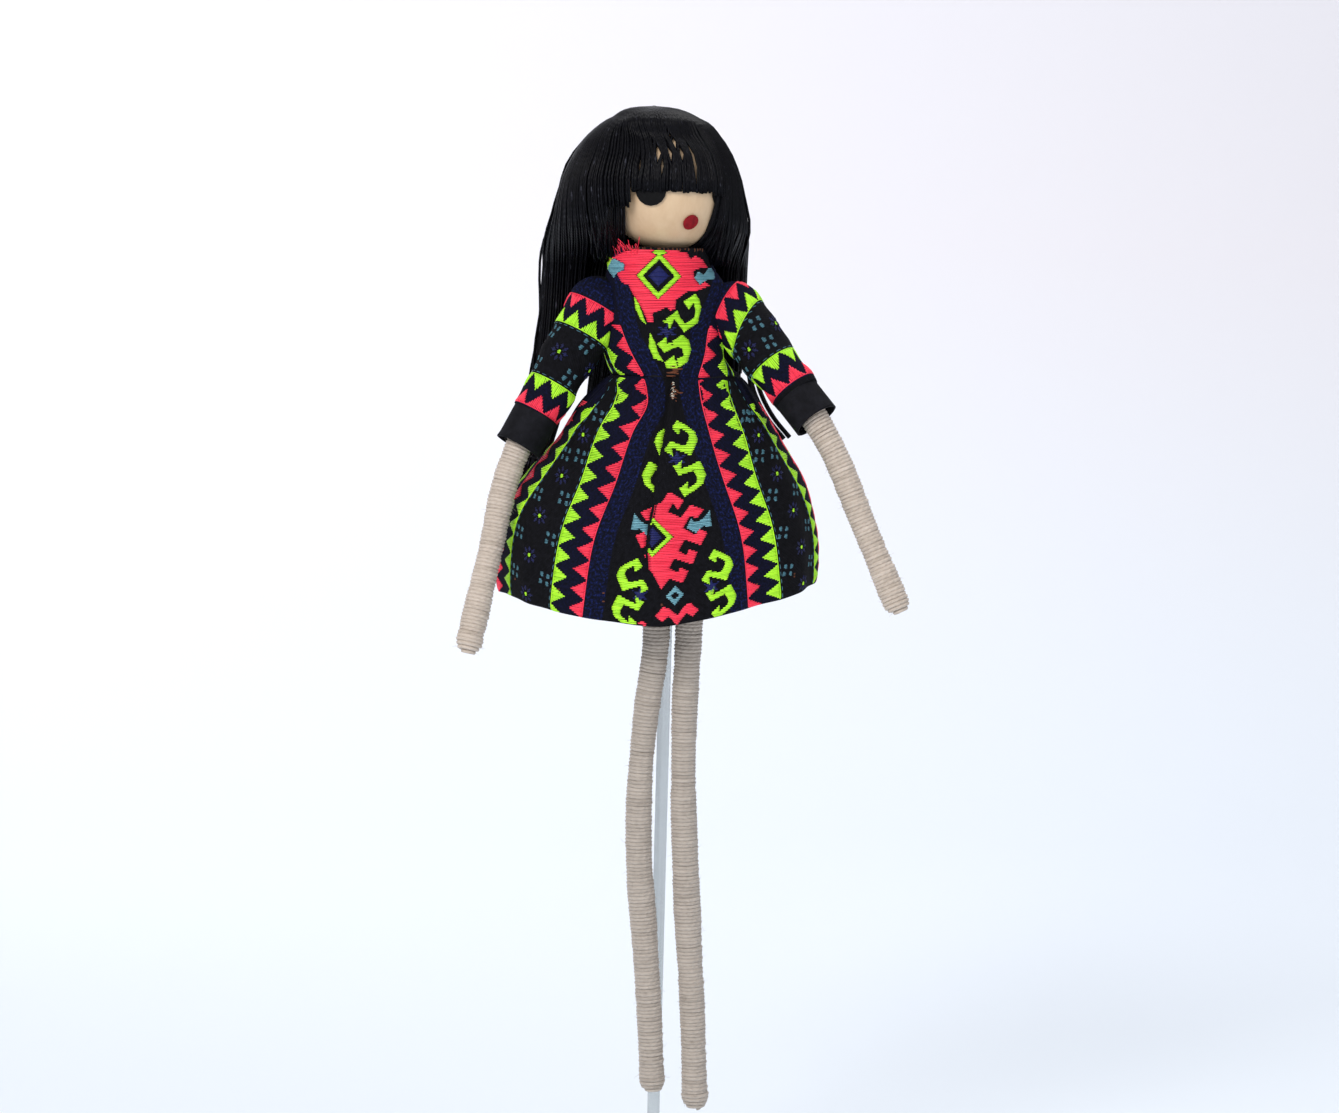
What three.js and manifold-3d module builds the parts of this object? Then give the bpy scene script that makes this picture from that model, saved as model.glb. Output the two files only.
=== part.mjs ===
// Soft doll on a clear rod: bead head with cord hair, lined brocade dress, and arms and legs
// of wire, padding and wrapped twine. Millimetres, +Z up, front towards -Y, _L is at -X.
// The origin is the centre of the rod's lower end.
import * as THREE from "three";
import { mergeVertices } from "three/addons/utils/BufferGeometryUtils.js";
import Module from "manifold-3d";

const wasm = await Module();
wasm.setup();

const v = (x, y, z) => new THREE.Vector3(x, y, z);
const forward = v(0, -1, 0);
const gap = 0.3;
const far = 200;

// Depths of the planes the doll is built on, measured from the rod.
const bodyY = -6;
const legY = -12;

// Rod and armature.
const rodRadius = 2.5;
const rodTop = 330;
const wireRadius = 0.8;
const tunnelRadius = wireRadius + gap;
const wireEnd = 0.9;
const knotRadius = 2.6;

// Limb build-up, from the wire outwards.
const paddingRadius = 3.6;
const wrapInner = paddingRadius + gap;
const wrapOuter = 5.25;
const wrapStart = 3.2;
const roundLength = 3;
const mouthOuter = 3.4;
const mouthInner = 2.6;

// Joint centres.
const shoulderL = v(-30.5, bodyY, 364.4);
const shoulderR = v(23.5, bodyY, 363.6);
const elbowL = v(-62.2, -19, 304.8);
const elbowR = v(60.5, -26, 317.6);
const handL = v(-77.7, -38, 228.4);
const handR = v(91.3, -40, 248.8);
const hipL = v(-5.5, legY, 292);
const hipR = v(10.5, legY, 292);
const kneeL = v(-8.9, legY, 172);
const kneeR = v(8.7, legY, 172);
const footL = v(-0.6, legY, 50.4);
const footR = v(16.7, legY, 44);

// Dress.
const cloth = 1.3;
const waistZ = 337.6;
const waistHeight = 3;
const bodiceLeft = -28;
const bodiceRight = 21;
const collarBase = 380;
const collarTop = 388.4;
const sleeveTopRadius = 12;
const sleeveEndRadius = 9.4;
const cuffRadius = 9.3;
const cuffLength = 15;
const cuffToElbow = 4.3;

// Head.
const beadCentre = v(-3.3, bodyY, 411.6);
const beadRadius = 25;
const pegRadius = 3;
const faceAzimuth = 20;
const paintHeight = 0.6;
const hairInner = beadRadius + gap + paintHeight + gap;
const hairCutZ = 380;

const colours = {
  rod: 0xd4dcdd,
  stuffing: 0xe8e2d6,
  wire: 0x8d8f92,
  brocade: 0x171a33,
  cuff: 0x14151a,
  lining: 0x1b1c22,
  twine: 0xb9aa98,
  wood: 0xd3b78f,
  hair: 0x121216,
  eye: 0x0b0b0d,
  mouth: 0x6a0c18,
};

const part = new THREE.Group();

function add(name, geometry, colour) {
  const material = new THREE.MeshStandardMaterial({ color: colours[colour] });
  const mesh = new THREE.Mesh(geometry, material);
  mesh.name = name;
  part.add(mesh);
}

// ---- surfaces through rings ----------------------------------------------------------------

function signedVolume(positions, index) {
  const corner = (i) => v(positions[3 * i], positions[3 * i + 1], positions[3 * i + 2]);
  let volume = 0;
  for (let i = 0; i < index.length; i += 3) {
    const [a, b, c] = [corner(index[i]), corner(index[i + 1]), corner(index[i + 2])];
    volume += a.dot(b.cross(c)) / 6;
  }
  return volume;
}

// Joins rings of points in order. A ring of one point is a pole. With loop, the last ring
// joins the first; without it the end rings must be poles.
function skin(rings, loop) {
  const positions = [];
  const starts = [];
  for (const ring of rings) {
    starts.push(positions.length / 3);
    for (const p of ring) positions.push(p.x, p.y, p.z);
  }
  const index = [];
  const pairs = loop ? rings.length : rings.length - 1;
  for (let i = 0; i < pairs; i++) {
    const j = (i + 1) % rings.length;
    const count = Math.max(rings[i].length, rings[j].length);
    for (let k = 0; k < count; k++) {
      const next = (k + 1) % count;
      const a = starts[i] + (k % rings[i].length);
      const b = starts[i] + (next % rings[i].length);
      const c = starts[j] + (k % rings[j].length);
      const d = starts[j] + (next % rings[j].length);
      if (rings[i].length > 1) index.push(a, b, c);
      if (rings[j].length > 1) index.push(b, d, c);
    }
  }
  if (signedVolume(positions, index) < 0) index.reverse();
  const geometry = new THREE.BufferGeometry();
  geometry.setAttribute("position", new THREE.Float32BufferAttribute(positions, 3));
  geometry.setIndex(index);
  geometry.computeVertexNormals();
  return geometry;
}

// A lathe profile of [distance, radius] points carried along a curve instead of an axis.
function turnAlong(curve, profile, segments) {
  const length = curve.getLength();
  const rings = profile.map(([distance, radius]) => {
    const t = THREE.MathUtils.clamp(distance / length, 0, 1);
    const centre = curve.getPointAt(t);
    if (radius === 0) return [centre];
    const side = curve.getTangentAt(t).cross(forward).normalize();
    const up = side.clone().cross(curve.getTangentAt(t));
    return Array.from({ length: segments }, (_, k) => {
      const angle = (2 * Math.PI * k) / segments;
      return centre.clone()
        .addScaledVector(side, radius * Math.cos(angle))
        .addScaledVector(up, radius * Math.sin(angle));
    });
  });
  return skin(rings, profile[0][1] !== 0);
}

// Stations at one radius from one distance to another, close enough to follow a bend.
function run(from, to, radius, steps) {
  return Array.from({ length: steps + 1 }, (_, i) => [from + ((to - from) * i) / steps, radius]);
}

function bar(curve, from, to, radius, segments, steps) {
  return turnAlong(curve, [[from, 0], ...run(from, to, radius, steps), [to, 0]], segments);
}

function pipe(curve, from, to, outer, inner, segments, steps) {
  const profile = [...run(from, to, outer, steps), ...run(to, from, inner, steps)];
  return turnAlong(curve, profile, segments);
}

// A level oval: x and y as a superellipse about the centre, z from the angle.
function oval(centreX, centreY, halfWidth, halfDepth, height, segments, power = 2) {
  return Array.from({ length: segments }, (_, k) => {
    const angle = (2 * Math.PI * k) / segments;
    const c = Math.cos(angle);
    const s = Math.sin(angle);
    const x = Math.sign(c) * Math.abs(c) ** (2 / power);
    const y = Math.sign(s) * Math.abs(s) ** (2 / power);
    return v(centreX + halfWidth * x, centreY + halfDepth * y, height(angle));
  });
}

const level = (z) => () => z;

// ---- joining and cutting -------------------------------------------------------------------

function toManifold(geometry) {
  const bare = geometry.clone();
  bare.deleteAttribute("normal");
  bare.deleteAttribute("uv");
  const merged = mergeVertices(bare);
  const mesh = new wasm.Mesh({
    numProp: 3,
    vertProperties: new Float32Array(merged.attributes.position.array),
    triVerts: new Uint32Array(merged.index.array),
  });
  return new wasm.Manifold(mesh);
}

function fromManifold(solid) {
  const mesh = solid.getMesh();
  const geometry = new THREE.BufferGeometry();
  geometry.setAttribute("position", new THREE.Float32BufferAttribute(mesh.vertProperties, 3));
  geometry.setIndex(new THREE.Uint32BufferAttribute(mesh.triVerts, 1));
  geometry.computeVertexNormals();
  return geometry;
}

function cut(geometry, ...tools) {
  let solid = toManifold(geometry);
  for (const tool of tools) solid = solid.subtract(toManifold(tool));
  return fromManifold(solid);
}

function keep(geometry, tool) {
  return fromManifold(toManifold(geometry).intersect(toManifold(tool)));
}

function block(low, high) {
  const size = high.clone().sub(low);
  const centre = low.clone().add(high).multiplyScalar(0.5);
  return new THREE.BoxGeometry(size.x, size.y, size.z).translate(centre.x, centre.y, centre.z);
}

// An upright cylinder between two heights.
function post(x, y, low, high, radius, segments) {
  return new THREE.CylinderGeometry(radius, radius, high - low, segments)
    .rotateX(Math.PI / 2)
    .translate(x, y, (low + high) / 2);
}

// ---- limbs ---------------------------------------------------------------------------------

// The wrap narrows at an open end so that two of them can bend about the joint between them.
function wrapJointEnd(at, inward) {
  const outer = [[at, mouthOuter], [at + 0.4 * roundLength * inward, 4.6]];
  const inner = [[at, mouthInner]];
  return { outer, inner, full: at + roundLength * inward };
}

function wrapBetweenJoints(curve, from, to) {
  const near = wrapJointEnd(from, 1);
  const away = wrapJointEnd(to, -1);
  const profile = [
    ...near.outer,
    ...run(near.full, away.full, wrapOuter, 5),
    ...away.outer.reverse(),
    ...away.inner,
    ...run(away.full, near.full, wrapInner, 5),
    ...near.inner,
  ];
  return turnAlong(curve, profile, 16);
}

function wrapWithTip(curve, from, tip) {
  const near = wrapJointEnd(from, 1);
  const profile = [
    [tip, 0],
    [tip - 0.6, 2.4],
    [tip - 2.2, 4.3],
    ...run(tip - wrapOuter, near.full, wrapOuter, 5),
    ...near.outer.reverse(),
    ...near.inner,
    ...run(near.full, tip - wrapOuter, wrapInner, 5),
    [tip - 2.4, 2.2],
    [tip - 1.6, 0],
  ];
  return turnAlong(curve, profile, 16);
}

function addLimb(name, curve, wireFrom, wrapFrom, hasTip) {
  const length = curve.getLength();
  const wrapTo = hasTip ? length : length - wrapStart;
  const wireTo = hasTip ? length - wrapOuter - gap : length - wireEnd;
  const paddingFrom = wrapFrom + roundLength + gap;
  const paddingTo = hasTip ? length - wrapOuter - gap : wrapTo - roundLength - gap;
  add(`${name}_wire`, bar(curve, wireFrom, wireTo, wireRadius, 8, 5), "wire");
  const padding = pipe(curve, paddingFrom, paddingTo, paddingRadius, tunnelRadius, 12, 5);
  add(`${name}_padding`, padding, "stuffing");
  const wrap = hasTip
    ? wrapWithTip(curve, wrapFrom, wrapTo)
    : wrapBetweenJoints(curve, wrapFrom, wrapTo);
  add(`${name}_twine_wrap`, wrap, "twine");
}

// ---- rod, stuffed body and armature --------------------------------------------------------

const shoulderWirePath = new THREE.LineCurve3(
  v(bodiceLeft - gap, bodyY, shoulderL.z),
  v(bodiceRight + gap, bodyY, shoulderR.z),
);
const hipWireZ = 306;
const hipWireEnd = hipL.z + knotRadius + gap;
const hipWirePath = new THREE.CurvePath();
const hipWireCorners = [
  v(hipL.x, legY, hipWireEnd),
  v(hipL.x, legY, hipWireZ),
  v(hipR.x, legY, hipWireZ),
  v(hipR.x, legY, hipWireEnd),
];
for (let i = 0; i < 3; i++) {
  hipWirePath.add(new THREE.LineCurve3(hipWireCorners[i], hipWireCorners[i + 1]));
}

const pegBottom = 366.5;
const pegTop = 430;

// Rows of height, centre x, half-width, half-depth.
const coreTable = [
  [378, -4, 9, 8],
  [370, -3.5, 19, 11.5],
  [355, -2.5, 20, 12.5],
  [338, 0, 20, 13],
  [315, 1, 21, 13],
  [298, 2, 15, 10.5],
];

function addRodAndCore() {
  add("stand_rod", post(0, 0, 0, rodTop, rodRadius, 24), "rod");

  const rings = coreTable.map(([z, x, w, d]) => oval(x, bodyY, w, d, level(z), 24));
  const [top, bottom] = [coreTable[0], coreTable[coreTable.length - 1]];
  const closed = [[v(top[1], bodyY, top[0])], ...rings, [v(bottom[1], bodyY, bottom[0])]];
  const core = cut(
    skin(closed, false),
    post(0, 0, 0, rodTop + gap, rodRadius + gap, 24),
    post(beadCentre.x, bodyY, pegBottom - gap, far * 2, pegRadius + gap, 20),
    bar(shoulderWirePath, 0, shoulderWirePath.getLength(), tunnelRadius, 10, 1),
    hipWireSolid(tunnelRadius, 1),
  );
  add("torso_core", core, "stuffing");

  const shoulderLength = shoulderWirePath.getLength();
  add("shoulder_wire", bar(shoulderWirePath, 0, shoulderLength, wireRadius, 10, 1), "wire");
  add("hip_wire", hipWireSolid(wireRadius, 0), "wire");
  const peg = post(beadCentre.x, bodyY, pegBottom, pegTop, pegRadius, 20);
  add("neck_peg", peg, "wood");
}

// The hip wire is a square arch: two uprights and the bar that joins them.
function hipWireSolid(radius, lengthen) {
  const [lowL, highL, highR, lowR] = hipWireCorners;
  const bottom = lowL.z - lengthen;
  const uprightL = toManifold(post(lowL.x, legY, bottom, highL.z + radius, radius, 12));
  const uprightR = toManifold(post(lowR.x, legY, bottom, highR.z + radius, radius, 12));
  const across = new THREE.LineCurve3(highL, highR);
  const crossbar = toManifold(bar(across, 0, across.getLength(), radius, 12, 1));
  return fromManifold(uprightL.add(uprightR).add(crossbar));
}

// ---- dress ---------------------------------------------------------------------------------

// Rows of height, centre x, half-width, half-depth.
const bodiceTable = [
  [collarBase - gap, -5.4, 21.2, 16.2],
  [372, -3.5, 24.5, 16.5],
  [345, -3.2, 24.2, 17.2],
  [waistZ + waistHeight / 2 + gap, 1.6, 26, 17.5],
];
const skirtTable = [
  [waistZ - waistHeight / 2 - gap, 1.8, 26.5, 17.5],
  [327.6, 0, 34.6, 24],
  [311.6, 0.3, 44.6, 32],
  [297.6, -1.2, 54.8, 39],
  [285.6, -3, 60.5, 43],
  [273.6, -3.2, 63.2, 45.5],
  [261.6, -3.4, 63.8, 46.5],
  [242, -3, 62.5, 46],
];
const hemSide = 251;
const hemFront = 242;
const hemSlope = 4;

function ovalShell(rows, heights, segments) {
  const outer = rows.map(([, x, w, d], i) => oval(x, bodyY, w, d, heights[i], segments));
  const inner = rows.map(([, x, w, d], i) => {
    return oval(x, bodyY, w - cloth, d - cloth, heights[i], segments);
  });
  return skin([...outer, ...inner.reverse()], true);
}

function addBodice() {
  const heights = bodiceTable.map(([z]) => level(z));
  const armholeRadius = 8;
  const armholes = new THREE.CylinderGeometry(armholeRadius, armholeRadius, far, 20)
    .rotateZ(Math.PI / 2)
    .translate(0, bodyY, (shoulderL.z + shoulderR.z) / 2);
  add("bodice", cut(ovalShell(bodiceTable, heights, 40), armholes), "brocade");

  const collarRows = [[collarTop, -6.3, 20, 16], [collarBase, -5.5, 21, 16.2]];
  add("collar", ovalShell(collarRows, [level(collarTop), level(collarBase)], 40), "brocade");

  const top = waistZ + waistHeight / 2;
  const bottom = waistZ - waistHeight / 2;
  const waistRows = [[top, 1.7, 26, 17.3], [bottom, 1.7, 26, 17.3]];
  add("waist_seam", ovalShell(waistRows, [level(top), level(bottom)], 40), "lining");
}

// The hem hangs lower in front and behind than at the sides, and lower at -X than at +X.
function hemHeight(angle) {
  const side = Math.cos(angle);
  return hemFront + (hemSide - hemFront) * side * side + hemSlope * side;
}

function addSkirt() {
  const top = skirtTable[0][0];
  const bottom = skirtTable[skirtTable.length - 1][0];
  const heights = skirtTable.map(([z]) => {
    const t = (top - z) / (top - bottom);
    return (angle) => top + (hemHeight(angle) - top) * t;
  });
  add("skirt", ovalShell(skirtTable, heights, 40), "brocade");
}

// ---- arms ----------------------------------------------------------------------------------

function addArm(side, shoulder, elbow, hand, bodiceEdge) {
  const outward = Math.sign(shoulder.x - beadCentre.x);
  const knot = new THREE.CylinderGeometry(knotRadius, knotRadius, 3.6, 16)
    .rotateZ(Math.PI / 2)
    .translate(shoulder.x, shoulder.y, shoulder.z);
  add(`shoulder_knot_${side}`, knot, "wire");

  const upper = new THREE.LineCurve3(shoulder, elbow);
  const wireFrom = knotRadius + 1.1;
  addLimb(`upper_arm_${side}`, upper, wireFrom, wrapStart + 1, false);

  const cuffEnd = upper.getLength() - cuffToElbow;
  const cuffStart = cuffEnd - cuffLength;
  const sleeveFrom = 2;
  const sleeveEnd = cuffStart - gap;
  const sleeve = turnAlong(upper, [
    [sleeveFrom, sleeveTopRadius],
    [sleeveEnd, sleeveEndRadius],
    [sleeveEnd, sleeveEndRadius - cloth],
    [sleeveFrom, sleeveTopRadius - cloth],
  ], 24);
  const edge = bodiceEdge + outward * (gap + 0.2);
  const inside = outward < 0
    ? block(v(edge, -far, 0), v(far, far, far * 3))
    : block(v(-far, -far, 0), v(edge, far, far * 3));
  add(`sleeve_${side}`, cut(sleeve, inside), "brocade");
  add(`cuff_${side}`, pipe(upper, cuffStart, cuffEnd, cuffRadius, cuffRadius - cloth, 24, 1), "cuff");

  const lower = new THREE.LineCurve3(elbow, hand);
  addLimb(`forearm_${side}`, lower, wireEnd, wrapStart, true);
}

// ---- legs ----------------------------------------------------------------------------------

function addLeg(side, hip, thighPath, shinPath) {
  const ball = new THREE.SphereGeometry(knotRadius, 12, 8).translate(hip.x, hip.y, hip.z);
  add(`hip_knot_${side}`, ball, "wire");
  const thigh = new THREE.CatmullRomCurve3(thighPath);
  const shin = new THREE.CatmullRomCurve3(shinPath);
  addLimb(`thigh_${side}`, thigh, knotRadius + gap, knotRadius + 2 * gap, false);
  addLimb(`shin_${side}`, shin, wireEnd, wrapStart, true);
}

function addLegs() {
  const leftThigh = [hipL, v(-4.1, legY, 252), v(-3.9, legY, 230), v(-6.8, legY, 205), kneeL];
  const leftShin = [kneeL, v(-8.3, legY, 143.6), v(-5.6, legY, 115.6), v(-3.1, legY, 87.6), footL];
  addLeg("L", hipL, leftThigh, leftShin);

  const rightThigh = [hipR, v(9.4, legY, 252), v(9, legY, 230), v(8.3, legY, 205), kneeR];
  const rightShin = [kneeR, v(10.2, legY, 143.6), v(12.1, legY, 115.6), v(14.3, legY, 87.6), footR];
  addLeg("R", hipR, rightThigh, rightShin);
}

// ---- head ----------------------------------------------------------------------------------

function addBead() {
  const hole = pegRadius + gap;
  const steps = 14;
  const first = Math.asin(hole / beadRadius);
  const profile = [];
  for (let i = 0; i <= steps; i++) {
    const angle = first + ((Math.PI - 2 * first) * i) / steps;
    profile.push(new THREE.Vector2(beadRadius * Math.sin(angle), -beadRadius * Math.cos(angle)));
  }
  profile.push(profile[0].clone());
  const bead = new THREE.LatheGeometry(profile, 28).rotateX(Math.PI / 2);
  bead.translate(beadCentre.x, beadCentre.y, beadCentre.z);
  add("head_bead", fromManifold(toManifold(bead)), "wood");
}

// A raised dab of paint that follows the bead, round or stretched one way.
function paintDab(azimuth, elevation, halfWidth, stretch, tilt) {
  const low = beadRadius + gap;
  const high = low + paintHeight;
  const reach = Math.asin(halfWidth / high);
  const steps = 3;
  const profile = [];
  for (let i = 0; i <= steps; i++) {
    const angle = (reach * i) / steps;
    profile.push(new THREE.Vector2(low * Math.sin(angle), low * Math.cos(angle)));
  }
  for (let i = steps; i >= 0; i--) {
    const angle = (reach * i) / steps;
    profile.push(new THREE.Vector2(high * Math.sin(angle), high * Math.cos(angle)));
  }
  const rad = THREE.MathUtils.degToRad;
  const dab = new THREE.LatheGeometry(profile, 16)
    .scale(1, 1, stretch)
    .rotateY(rad(tilt))
    .rotateX(rad(180 - elevation))
    .rotateZ(rad(azimuth))
    .translate(beadCentre.x, beadCentre.y, beadCentre.z);
  return fromManifold(toManifold(dab));
}

function addFace() {
  const eyeSpread = 36;
  const eyeRadius = 6.3;
  add("eye_L", paintDab(faceAzimuth - eyeSpread, -2, eyeRadius, 1, 0), "eye");
  add("eye_R", paintDab(faceAzimuth + eyeSpread, -2, eyeRadius, 1, 0), "eye");
  add("mouth", paintDab(faceAzimuth + 4, -31, 3, 1.13, -25), "mouth");
}

// Rows of height, least x, greatest x, front y, back y.
const hairTable = [
  [444.4, -20, 0, -14, 10],
  [439.6, -28, 10.4, -24, 20],
  [431.6, -37, 17.8, -31, 27],
  [423.6, -42.4, 22.6, -35, 30],
  [415.6, -46.2, 25.6, -37, 32],
  [407.6, -48.4, 27, -36, 33],
  [399.6, -49.8, 28.6, -34, 33],
  [391.6, -51.6, 29.6, -31, 33],
  [hairCutZ + gap, -53, 29.4, -28, 32],
];
const hairCrown = v(-10, -2, 445.6);

function hairVolume() {
  const rings = hairTable.map(([z, left, right, front, back]) => oval(
    (left + right) / 2,
    (front + back) / 2,
    (right - left) / 2,
    (back - front) / 2,
    level(z),
    32,
    2.3,
  ));
  const under = v(beadCentre.x, bodyY, hairCutZ + gap);
  const volume = skin([[hairCrown], ...rings, [under]], false);
  const ball = new THREE.SphereGeometry(hairInner, 28, 18)
    .rotateX(Math.PI / 2)
    .translate(beadCentre.x, beadCentre.y, beadCentre.z);
  return cut(volume, ball, post(beadCentre.x, bodyY, 0, beadCentre.z, hairInner, 28));
}

// An upright wedge about the bead's axis. Its point is moved out a little, which leaves a gap
// beside each neighbouring wedge. Azimuth is from the front, towards +X.
function wedge(from, to, low, high) {
  const rad = THREE.MathUtils.degToRad;
  const out = (azimuth) => [Math.sin(rad(azimuth)), -Math.cos(rad(azimuth))];
  const [mx, my] = out((from + to) / 2);
  const apex = [beadCentre.x + mx * 0.5, bodyY + my * 0.5];
  const shape = new THREE.Shape();
  shape.moveTo(apex[0], apex[1]);
  for (const azimuth of [from, (from + to) / 2, to]) {
    const [x, y] = out(azimuth);
    shape.lineTo(apex[0] + x * far, apex[1] + y * far);
  }
  shape.closePath();
  const options = { depth: high - low, bevelEnabled: false, steps: 1 };
  return new THREE.ExtrudeGeometry(shape, options).translate(0, 0, low);
}

function addHeadHair() {
  const volume = hairVolume();
  const capZ = 428;
  const fringeBottom = 409;
  const leftEdge = -43;
  const rightEdge = 50;
  add("hair_crown", keep(volume, block(v(-far, -far, capZ + gap), v(far, far, far * 3))), "hair");
  add("hair_fringe", keep(volume, wedge(leftEdge, rightEdge, fringeBottom, capZ - gap)), "hair");
  add("hair_side_R", keep(volume, wedge(rightEdge, 140, 0, capZ - gap)), "hair");
  add("hair_back", keep(volume, wedge(140, 230, 0, capZ - gap)), "hair");
  add("hair_side_L", keep(volume, wedge(-130, leftEdge, 0, capZ - gap)), "hair");
}

// A hanging lock: rows of centre x, centre y, height, half-width, half-depth.
function hairLock(rows) {
  const rings = rows.map(([x, y, z, w, d]) => oval(x, y, w, d, level(z), 16, 3));
  const [top, bottom] = [rows[0], rows[rows.length - 1]];
  const poleTop = [v(top[0], top[1], top[2])];
  const poleBottom = [v(bottom[0], bottom[1], bottom[2])];
  return skin([poleTop, ...rings, poleBottom], false);
}

function addBackHair() {
  const top = hairCutZ - gap;
  add("hair_length_L", hairLock([
    [-43.5, 19, top, 9.5, 6],
    [-45, 19, 350, 9.5, 6],
    [-50, 24, 322, 9.5, 6],
    [-57, 29, 297, 8, 5],
    [-60, 31, 276, 6, 4],
  ]), "hair");
  add("hair_length_middle", hairLock([
    [-9, 21, top, 24, 7],
    [-11, 19.5, 350, 21.5, 6.5],
    [-14, 23.5, 335, 20, 6],
    [-18, 36, 312, 18, 5.5],
    [-22, 44, 292, 15, 4],
  ]), "hair");
  add("hair_length_R", hairLock([
    [22, 19, top, 6.5, 6],
    [22, 18, 352, 6, 5],
    [22.5, 20.5, 333, 4.5, 3.5],
  ]), "hair");
  const strand = new THREE.CatmullRomCurve3([
    v(30, 17, 346),
    v(33, 17, 331),
    v(39, 16, 320),
    v(45.5, 14, 312.5),
  ]);
  add("hair_stray_strands", bar(strand, 0, strand.getLength(), 1.1, 8, 6), "hair");
}

addRodAndCore();
addBodice();
addSkirt();
addArm("L", shoulderL, elbowL, handL, bodiceLeft);
addArm("R", shoulderR, elbowR, handR, bodiceRight);
addLegs();
addBead();
addFace();
addHeadHair();
addBackHair();

export default part;
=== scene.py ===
"""Looks of the soft doll on a clear rod: twine-wound limbs, cord hair, a bead head and an embroidered dress.

Lengths are millimetres in the CAD frame (origin at the rod's lower end, +Z up, front -Y, L at -X) and become
metres when a mesh is made. The camera, the lights and the stage are in metres.
"""
import math

import bpy
import numpy as np
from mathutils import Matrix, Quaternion, Vector


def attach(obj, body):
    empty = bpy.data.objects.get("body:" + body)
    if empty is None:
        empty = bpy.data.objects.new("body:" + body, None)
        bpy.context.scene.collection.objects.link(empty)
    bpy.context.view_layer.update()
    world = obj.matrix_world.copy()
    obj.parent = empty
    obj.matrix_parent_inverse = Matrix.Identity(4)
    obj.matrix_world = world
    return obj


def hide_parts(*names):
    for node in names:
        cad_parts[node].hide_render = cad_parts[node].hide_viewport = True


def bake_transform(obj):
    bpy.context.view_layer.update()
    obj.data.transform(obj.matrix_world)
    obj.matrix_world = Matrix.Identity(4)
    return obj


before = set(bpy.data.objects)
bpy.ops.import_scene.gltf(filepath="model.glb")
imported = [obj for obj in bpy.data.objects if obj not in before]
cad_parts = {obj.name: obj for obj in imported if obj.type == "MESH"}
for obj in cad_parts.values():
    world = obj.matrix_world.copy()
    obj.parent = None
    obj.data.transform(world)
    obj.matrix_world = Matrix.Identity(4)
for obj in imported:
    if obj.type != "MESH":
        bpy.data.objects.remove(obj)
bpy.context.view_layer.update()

MM = 0.001
RANDOM = np.random.default_rng(20)

# ---- Dimensions shared with the CAD ---------------------------------------------------------

BODY_Y = -6.0
ROD_RADIUS = 2.5
ROD_TOP = 330.0
BEAD_CENTRE = np.array([-3.3, -6.0, 411.6])
BEAD_RADIUS = 25.0
BEAD_HOLE = 3.3
LIMB_RADIUS = 5.25
SHOULDERS = {"L": (-30.5, -6.0, 364.4), "R": (23.5, -6.0, 363.6)}
ELBOWS = {"L": (-62.2, -19.0, 304.8), "R": (60.5, -26.0, 317.6)}
HANDS = {"L": (-77.7, -38.0, 228.4), "R": (91.3, -40.0, 248.8)}
LEG_Y = -12.0
LEG_PATHS = {  # x and z from the hip to the foot, with the knee fifth
    "L": [(-5.5, 292), (-4.1, 252), (-3.9, 230), (-6.8, 205), (-8.9, 172), (-8.3, 143.6), (-5.6, 115.6),
          (-3.1, 87.6), (-0.6, 50.4)],
    "R": [(10.5, 292), (9.4, 252), (9.0, 230), (8.3, 205), (8.7, 172), (10.2, 143.6), (12.1, 115.6),
          (14.3, 87.6), (16.7, 44)],
}
WAIST_Z = 337.6
BODICE_TOP = 388.4
SLEEVE_TOP_RADIUS = 12.0
SLEEVE_END_RADIUS = 9.4
CUFF_LENGTH = 15.0
CUFF_TO_ELBOW = 4.3
CLOTH = 0.8

# Height, centre across, half-width and half-depth of the dress.
BODICE_TABLE = [(337.6, 1.6, 25.6, 17.2), (345, -3.2, 24.2, 17.2), (358, -3.3, 24.4, 16.9),
                (372, -3.5, 24.5, 16.5), (379.7, -5.4, 21.2, 16.2), (384, -6.0, 20.4, 16.1),
                (388.4, -6.3, 20, 16)]
SKIRT_TABLE = [(242, -3, 62.5, 46), (261.6, -3.4, 63.8, 46.5), (273.6, -3.2, 63.2, 45.5),
               (285.6, -3, 60.5, 43), (297.6, -1.2, 54.8, 39), (311.6, 0.3, 44.6, 32),
               (327.6, 0, 34.6, 24), (337.6, 1.6, 26, 17.4)]
HEM_Z, HEM_SIDES, HEM_TILT, HEM_POWER = 242.0, 11.5, 3.5, 1.4
SKIRT_LENGTH = 100.0

# Height, leftmost, rightmost, front and back of the hair on the head.
HAIR_TABLE = [(380.3, -53, 29.4, -28, 32), (391.6, -51.6, 29.6, -31, 33), (399.6, -49.8, 28.6, -34, 33),
              (407.6, -48.4, 27, -36, 33), (415.6, -46.2, 25.6, -37, 32), (423.6, -42.4, 22.6, -35, 30),
              (431.6, -37, 17.8, -31, 27), (439.6, -28, 10.4, -24, 20), (444.4, -20, 0, -14, 10),
              (445.6, -12, -8, -4, 0)]
HAIR_POWER = 2.3
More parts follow.
